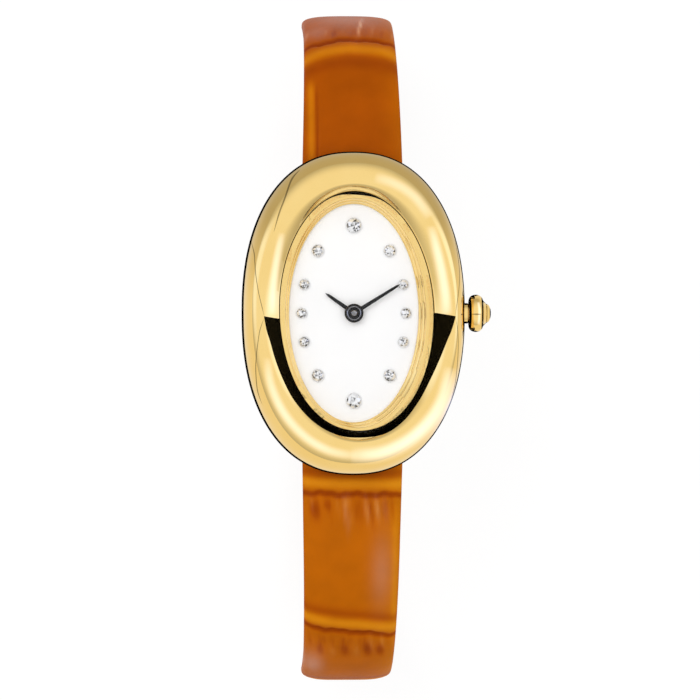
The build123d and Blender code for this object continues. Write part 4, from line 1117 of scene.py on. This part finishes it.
def soft_box(name, tilt, round_turn, far, wide, tall, strength):
    """A glowing panel whose light fades to its edges, tilted from straight above and turned from X."""
    tilt, round_turn = math.radians(tilt), math.radians(round_turn)
    level_out = math.sin(tilt)
    way_out = Vector((level_out * math.cos(round_turn), level_out * math.sin(round_turn), math.cos(tilt)))
    piece = new_piece(name, square, [(0, 1, 2, 3)])
    piece.location = middle_point + far * way_out
    piece.rotation_euler = way_out.to_track_quat("Z", "Y").to_euler()
    piece.scale = (wide / 2, tall / 2, 1)
    material, tree, shader = finish_of(name, (0, 0, 0), 1.0)
    place = add_node(tree, "TexCoord").outputs["Object"]
    fade = add_node(tree, "TexGradient", {"Vector": place}, gradient_type="SPHERICAL").outputs["Fac"]
    soft = add_node(tree, "MapRange", {"Value": fade, "From Max": 0.7}, interpolation_type="SMOOTHSTEP")
    light = add_node(tree, "Emission", {"Color": (0.86, 0.95, 1.25, 1), "Strength": strength})
    veil(tree, soft.outputs["Result"], light.outputs["Emission"])
    piece.data.materials.append(material)
    only_in_polish(piece)


dome_far, dome_steps = 700, 24
dome_turns = [math.pi / 2 * step / (dome_steps + 0.2) for step in range(dome_steps + 1)]
dome_line = [(dome_far * math.cos(turn), dome_far * math.sin(turn)) for turn in dome_turns]
dome = turned("cloth_dome", dome_line, closed=False)
cloth, tree, shader = finish_of("dome_cloth", (0, 0, 0), 1.0)
climb = fade_along(
    tree, "Object", "Z", start=0.04 * dome_far * mm, end=0.86 * dome_far * mm, low=0.5, high=0.93,
)
surface(tree, add_node(tree, "Emission", {"Strength": climb}).outputs["Emission"])
dome.data.materials.append(cloth)
only_in_polish(dome)
soft_box("box_right", tilt=58, round_turn=12, far=0.5, wide=0.45, tall=0.6, strength=1.3)
soft_box("box_left", tilt=60, round_turn=168, far=0.5, wide=0.4, tall=0.6, strength=1.2)

# Materials for cards that paint dark and cream reflections, dark lines and highlights onto the gold.
matt = {"Specular IOR Level": 0.0}
dark_reflection_card, tree, shader = finish_of("painted_dark_reflection", (0.0, 0.0, 0.0), 1.0, 0.0, matt)
cream_reflection_card, tree, shader = finish_of("painted_cream_reflection", (0.0, 0.0, 0.0), 1.0, 0.0, {
    **matt, "Emission Color": (1.0, 0.95, 0.84, 1),
})
# The cream reflection painted on the flank dims towards the ends.
dimming = fade_along(tree, "Object", "Y", start=0.0, end=16 * mm, low=0.88, high=0.5)
tree.links.new(dimming, shader.inputs["Emission Strength"])
dark_line_card, tree, shader = finish_of("painted_dark_line", (0.0, 0.0, 0.0), 1.0, 0.0, matt)
veil(tree, 0.62, shader.outputs["BSDF"])
# The glowing strip's material: a painted highlight, strongest where its stored level is high.
highlight_card, tree, shader = finish_of("painted_highlight_strip", (0, 0, 0), 1.0)
level = add_node(tree, "Attribute", attribute_name="painted_highlight").outputs["Fac"]
shine = add_node(tree, "Emission", {"Color": (0.78, 0.93, 1.7, 1), "Strength": 1.7})
veil(tree, level, shine.outputs["Emission"])


def over(piece, x, y, lift):
    """A point in metres, a lift in millimetres above a piece's gold at x, y in millimetres."""
    met = piece.ray_cast((x * mm, y * mm, 0.1), (0, 0, -1))[1]
    return (x * mm, y * mm, met.z + lift * mm)


def card(name, rows, material=dark_reflection_card):
    """A card through rows of points, that only polished metal sees; held by the gold, it paints a reflection
    onto it.
    """
    wide = len(rows[0])
    faces = [
        (row * wide + step, row * wide + step + 1, (row + 1) * wide + step + 1, (row + 1) * wide + step)
        for row in range(len(rows) - 1) for step in range(wide - 1)
    ]
    piece = new_piece(name, [point for row in rows for point in row], faces)
    piece.data.materials.append(material)
    only_in_polish(piece)
    return piece


def smooth_route(route, steps=8):
    """Points along a smooth curve through a route of points."""
    points = []
    for number in range(len(route) - 1):
        before, here = route[max(number - 1, 0)], route[number]
        after, beyond = route[number + 1], route[min(number + 2, len(route) - 1)]
        for step in range(steps):
            share = step / steps
            points.append([
                0.5 * (2 * b + (c - a) * share + (2 * a - 5 * b + 4 * c - d) * share ** 2
                       + (3 * b - a - 3 * c + d) * share ** 3)
                for a, b, c, d in zip(before, here, after, beyond)
            ])
    return points + [list(route[-1])]


def on_rim(turn, inset):
    """A point in millimetres on the opening's edge, moved inward by an inset."""
    x, y = (opening_width / 2 - inset) * math.cos(turn), (opening_length / 2 - inset) * math.sin(turn)
    return leaned(x, y, opening_shift, opening_lean)


# A black card that lies over the lower inner slope and hangs inside the rim: a painted dark reflection.
slope_outer = (
    (-9.25, -0.33), (-8.98, -1.72), (-8.62, -2.85), (-8.05, -4.81), (-7.24, -6.87), (-6.12, -8.93),
    (-4.25, -11.0), (-2.05, -12.3), (0.22, -12.68), (2.9, -12.35), (4.95, -11.0), (6.55, -8.93),
    (7.65, -6.87), (8.6, -4.81), (9.45, -2.75), (9.91, -1.72), (10.37, -0.33),
)
card_lift, rim_lap, curtain_inset, slope_steps = 0.07, 0.02, 0.12, 10
columns = [
    (x, y, math.atan2(y / opening_length, (x - opening_shift) / opening_width))
    for x, y in smooth_route(slope_outer)
]
rows = []
for step in range(slope_steps + 1):
    share = step / slope_steps
    row = []
    for x, y, turn in columns:
        rim_x, rim_y = on_rim(turn, -rim_lap)
        row.append(over(case, between(x, rim_x, share), between(y, rim_y, share), card_lift))
    rows.append(row)
for height in (rim_top + card_lift, crystal_seat + card_lift):
    rows.append([at(*on_rim(turn, curtain_inset), height) for x, y, turn in columns])
card("slope_dark_reflection", rows)

# A black card round the rim, thicker at the top and bottom: a painted dark reflection along the rim.
rim_height, rim_gap, rim_wide = crystal_seat + 0.06, 0.03, 0.1
top_turn, foot_turn = math.radians(86), math.radians(270)
rows = []
for share in (0.0, 0.5, 1.0):
    row = []
    for turn in turns_of(240) + [2 * math.pi]:
        thick = rim_wide + 0.3 * hump(turn, top_turn, 0.24) + 0.38 * hump(turn, foot_turn, 0.5)
        row.append(at(*on_rim(turn, rim_gap + share * thick), rim_height))
    rows.append(row)
card("rim_dark_reflection", rows)


def skirt(name, steps_out, material):
    """A ring of card round the case, from (gap, height over the widest line) pairs, that paints a reflection
    into the gold's flank.
    """
    rows = []
    for out, rise in steps_out:
        ring = oval_line(case_width + 2 * out, case_length + 2 * out, case_fullness, widest_height + rise)
        rows.append(ring + ring[:1])
    card(name, rows, material)


# A painted dark reflection at the case's edge, and a painted cream reflection on its flank.
skirt("skirt_dark_reflection", ((0.03, -0.3), (1.0, -0.3)), dark_reflection_card)
skirt("skirt_cream_reflection", ((1.0, -0.3), (7.0, -0.3), (9.0, 5.6)), cream_reflection_card)


def way_across(points, number):
    """The direction across a route at one of its points."""
    before, after = points[max(number - 1, 0)], points[min(number + 1, len(points) - 1)]
    long = math.hypot(after[0] - before[0], after[1] - before[1])
    return -(after[1] - before[1]) / long, (after[0] - before[0]) / long


def strip(name, piece, route, wide, lift, material, across, ends=0):
    """A strip of card over the gold along a route, that narrows over some points at its ends."""
    points = smooth_route(route)
    rows = []
    for number, (x, y) in enumerate(points):
        side_x, side_y = way_across(points, number)
        half = wide / 2 * (min(1, (number + 1) / ends, (len(points) - number) / ends) if ends else 1)
        offs = [half * (step / across * 2 - 1) for step in range(across + 1)]
        rows.append([over(piece, x + side_x * off, y + side_y * off, lift) for off in offs])
    return card(name, rows, material), len(points)


def dark_reflection_line(name, piece, route, wide, lift=0.12):
    """A thin dark card held just over the gold: a painted dark reflection line."""
    strip(name, piece, route, wide, lift, dark_line_card, 1, 8)


def painted_highlight(name, piece, route, wide, level, lift=0.25, across=8):
    """A glowing strip held just over the gold, a painted highlight, brightest along its middle, that fades to
    its rim.
    """
    made, count = strip(name, piece, route, wide, lift, highlight_card, across)
    levels = []
    for number in range(count):
        along = number / (count - 1) * 2 - 1
        for step in range(across + 1):
            share = step / across * 2 - 1
            levels.append(level * (1 - share ** 2) ** 2 * (1 - along ** 4))
    put_values(made, "painted_highlight", levels)


# Thin dark lines over the gold's sides and shoulder: painted dark reflections.
for name, wide, route in (
    ("dark_line_left_high", 0.09, (
        (-10.6, 7.5), (-10.35, 6.1), (-10.3, 5.2), (-10.2, 3.85), (-9.9, 2.2), (-9.5, 0.75), (-9.2, -0.3),
    )),
    ("dark_line_left_low", 0.09, (
        (-9.2, -0.5), (-9.7, -1.7), (-9.95, -2.9), (-10.15, -4.4), (-10.2, -5.9), (-10.0, -7.9), (-9.5, -9.4),
    )),
    ("dark_line_right_high", 0.07, (
        (10.3, 8.0), (10.7, 5.8), (10.85, 4.0), (10.75, 2.2), (10.5, 0.7), (10.35, -0.3),
    )),
    ("dark_line_right_low", 0.07, (
        (10.35, -0.4), (10.65, -1.8), (10.7, -3.8), (10.6, -5.5), (10.4, -7.3), (10.0, -8.8),
    )),
    ("dark_line_shoulder", 0.16, ((-5.6, 14.75), (-6.5, 13.7), (-7.25, 11.7), (-7.8, 10.2), (-8.3, 8.3))),
):
    dark_reflection_line(name, case, route, wide)

# Glowing strips over the gold's sides, shoulder and foot: painted highlights.
for name, wide, level, route in (
    ("painted_highlight_left", 1.3, 0.8, ((-8.2, -0.25), (-8.15, 2.0), (-7.9, 4.5), (-7.3, 8.2))),
    ("painted_highlight_right", 1.7, 0.85, ((9.3, -0.25), (9.1, 2.0), (8.6, 5.0), (7.8, 9.0))),
    ("painted_highlight_shoulder", 1.7, 0.45, ((2.0, 14.0), (4.4, 13.2), (6.4, 11.8), (7.8, 9.8))),
    ("painted_highlight_foot", 2.3, 1.0, (
        (-0.5, -14.7), (2.6, -14.5), (5.4, -13.3), (7.7, -11.3), (9.2, -8.8), (9.9, -5.5),
    )),
    ("painted_highlight_foot_left", 1.5, 0.65, (
        (-8.9, -4.5), (-8.7, -7.2), (-7.4, -10.2), (-5.2, -12.7), (-2.6, -14.2), (0.4, -14.8),
    )),
):
    painted_highlight(name, case, route, wide, level)

# Black cards along the crown's outline and round it: a painted dark reflection outlining the crown.
outline = [(along, radius) for radius, along in profile[2:]]
frame_drop = 0.12
crown_frame = []
for out in (0.03, 0.8):
    side_line = []
    for number, (x, y) in enumerate(outline):
        side_x, side_y = way_across(outline, number)
        side_line.append((x - side_x * out, y + side_y * out))
    side_line += [(x, -y) for x, y in reversed(side_line)]
    crown_frame.append([at(x, y, stem_height - frame_drop) for x, y in side_line])
card("crown_dark_reflection", crown_frame)
round_crown = turns_of(48) + [2 * math.pi]
for number, (x, low, high) in enumerate((
    (crown_start - 0.08, collar_radius + 0.1, bun_radius - 0.06),
    (bun_end + 0.07, shoulder + 0.12, bun_radius - 0.14),
    (crown_end + 0.06, 0.02, 0.6),
)):
    card(f"crown_dark_ring_{number}", [
        [at(x, radius * math.sin(turn), stem_height + radius * math.cos(turn)) for turn in round_crown]
        for radius in (low, high)
    ])
# A painted dark line across the crown and a painted highlight along it.
crown_dark_route = ((12.0, -0.1), (12.6, -0.12), (13.2, -0.1))
crown_highlight_route = ((12.85, -1.3), (12.95, -0.6), (12.95, 0.6), (12.85, 1.3))
dark_reflection_line("dark_line_crown", crown, crown_dark_route, wide=0.18, lift=0.08)
painted_highlight("painted_highlight_crown", crown, crown_highlight_route, wide=0.5, level=0.8, lift=0.12)


# Camera
# The photograph looks straight down on the dial with a long lens, a little from the left
# of the watch, so that it stands upright in the square picture.

picture_mm, sensor_mm = 72.17, 36.0
camera_far = 0.5
from_left = math.radians(2.3)
aim = Vector((-0.3 * mm, -3.78 * mm, widest_height * mm))
camera_data = bpy.data.cameras.new("camera")
camera_data.sensor_width = sensor_mm
camera_data.lens = sensor_mm * camera_far / (picture_mm * mm)
camera_data.clip_start = 0.01
camera = put("camera", camera_data)
camera.location = aim + camera_far * Vector((-math.sin(from_left), 0, math.cos(from_left)))
camera.rotation_euler = (0, -from_left, 0)
bpy.context.scene.camera = camera
bpy.context.scene.view_settings.view_transform = "Standard"
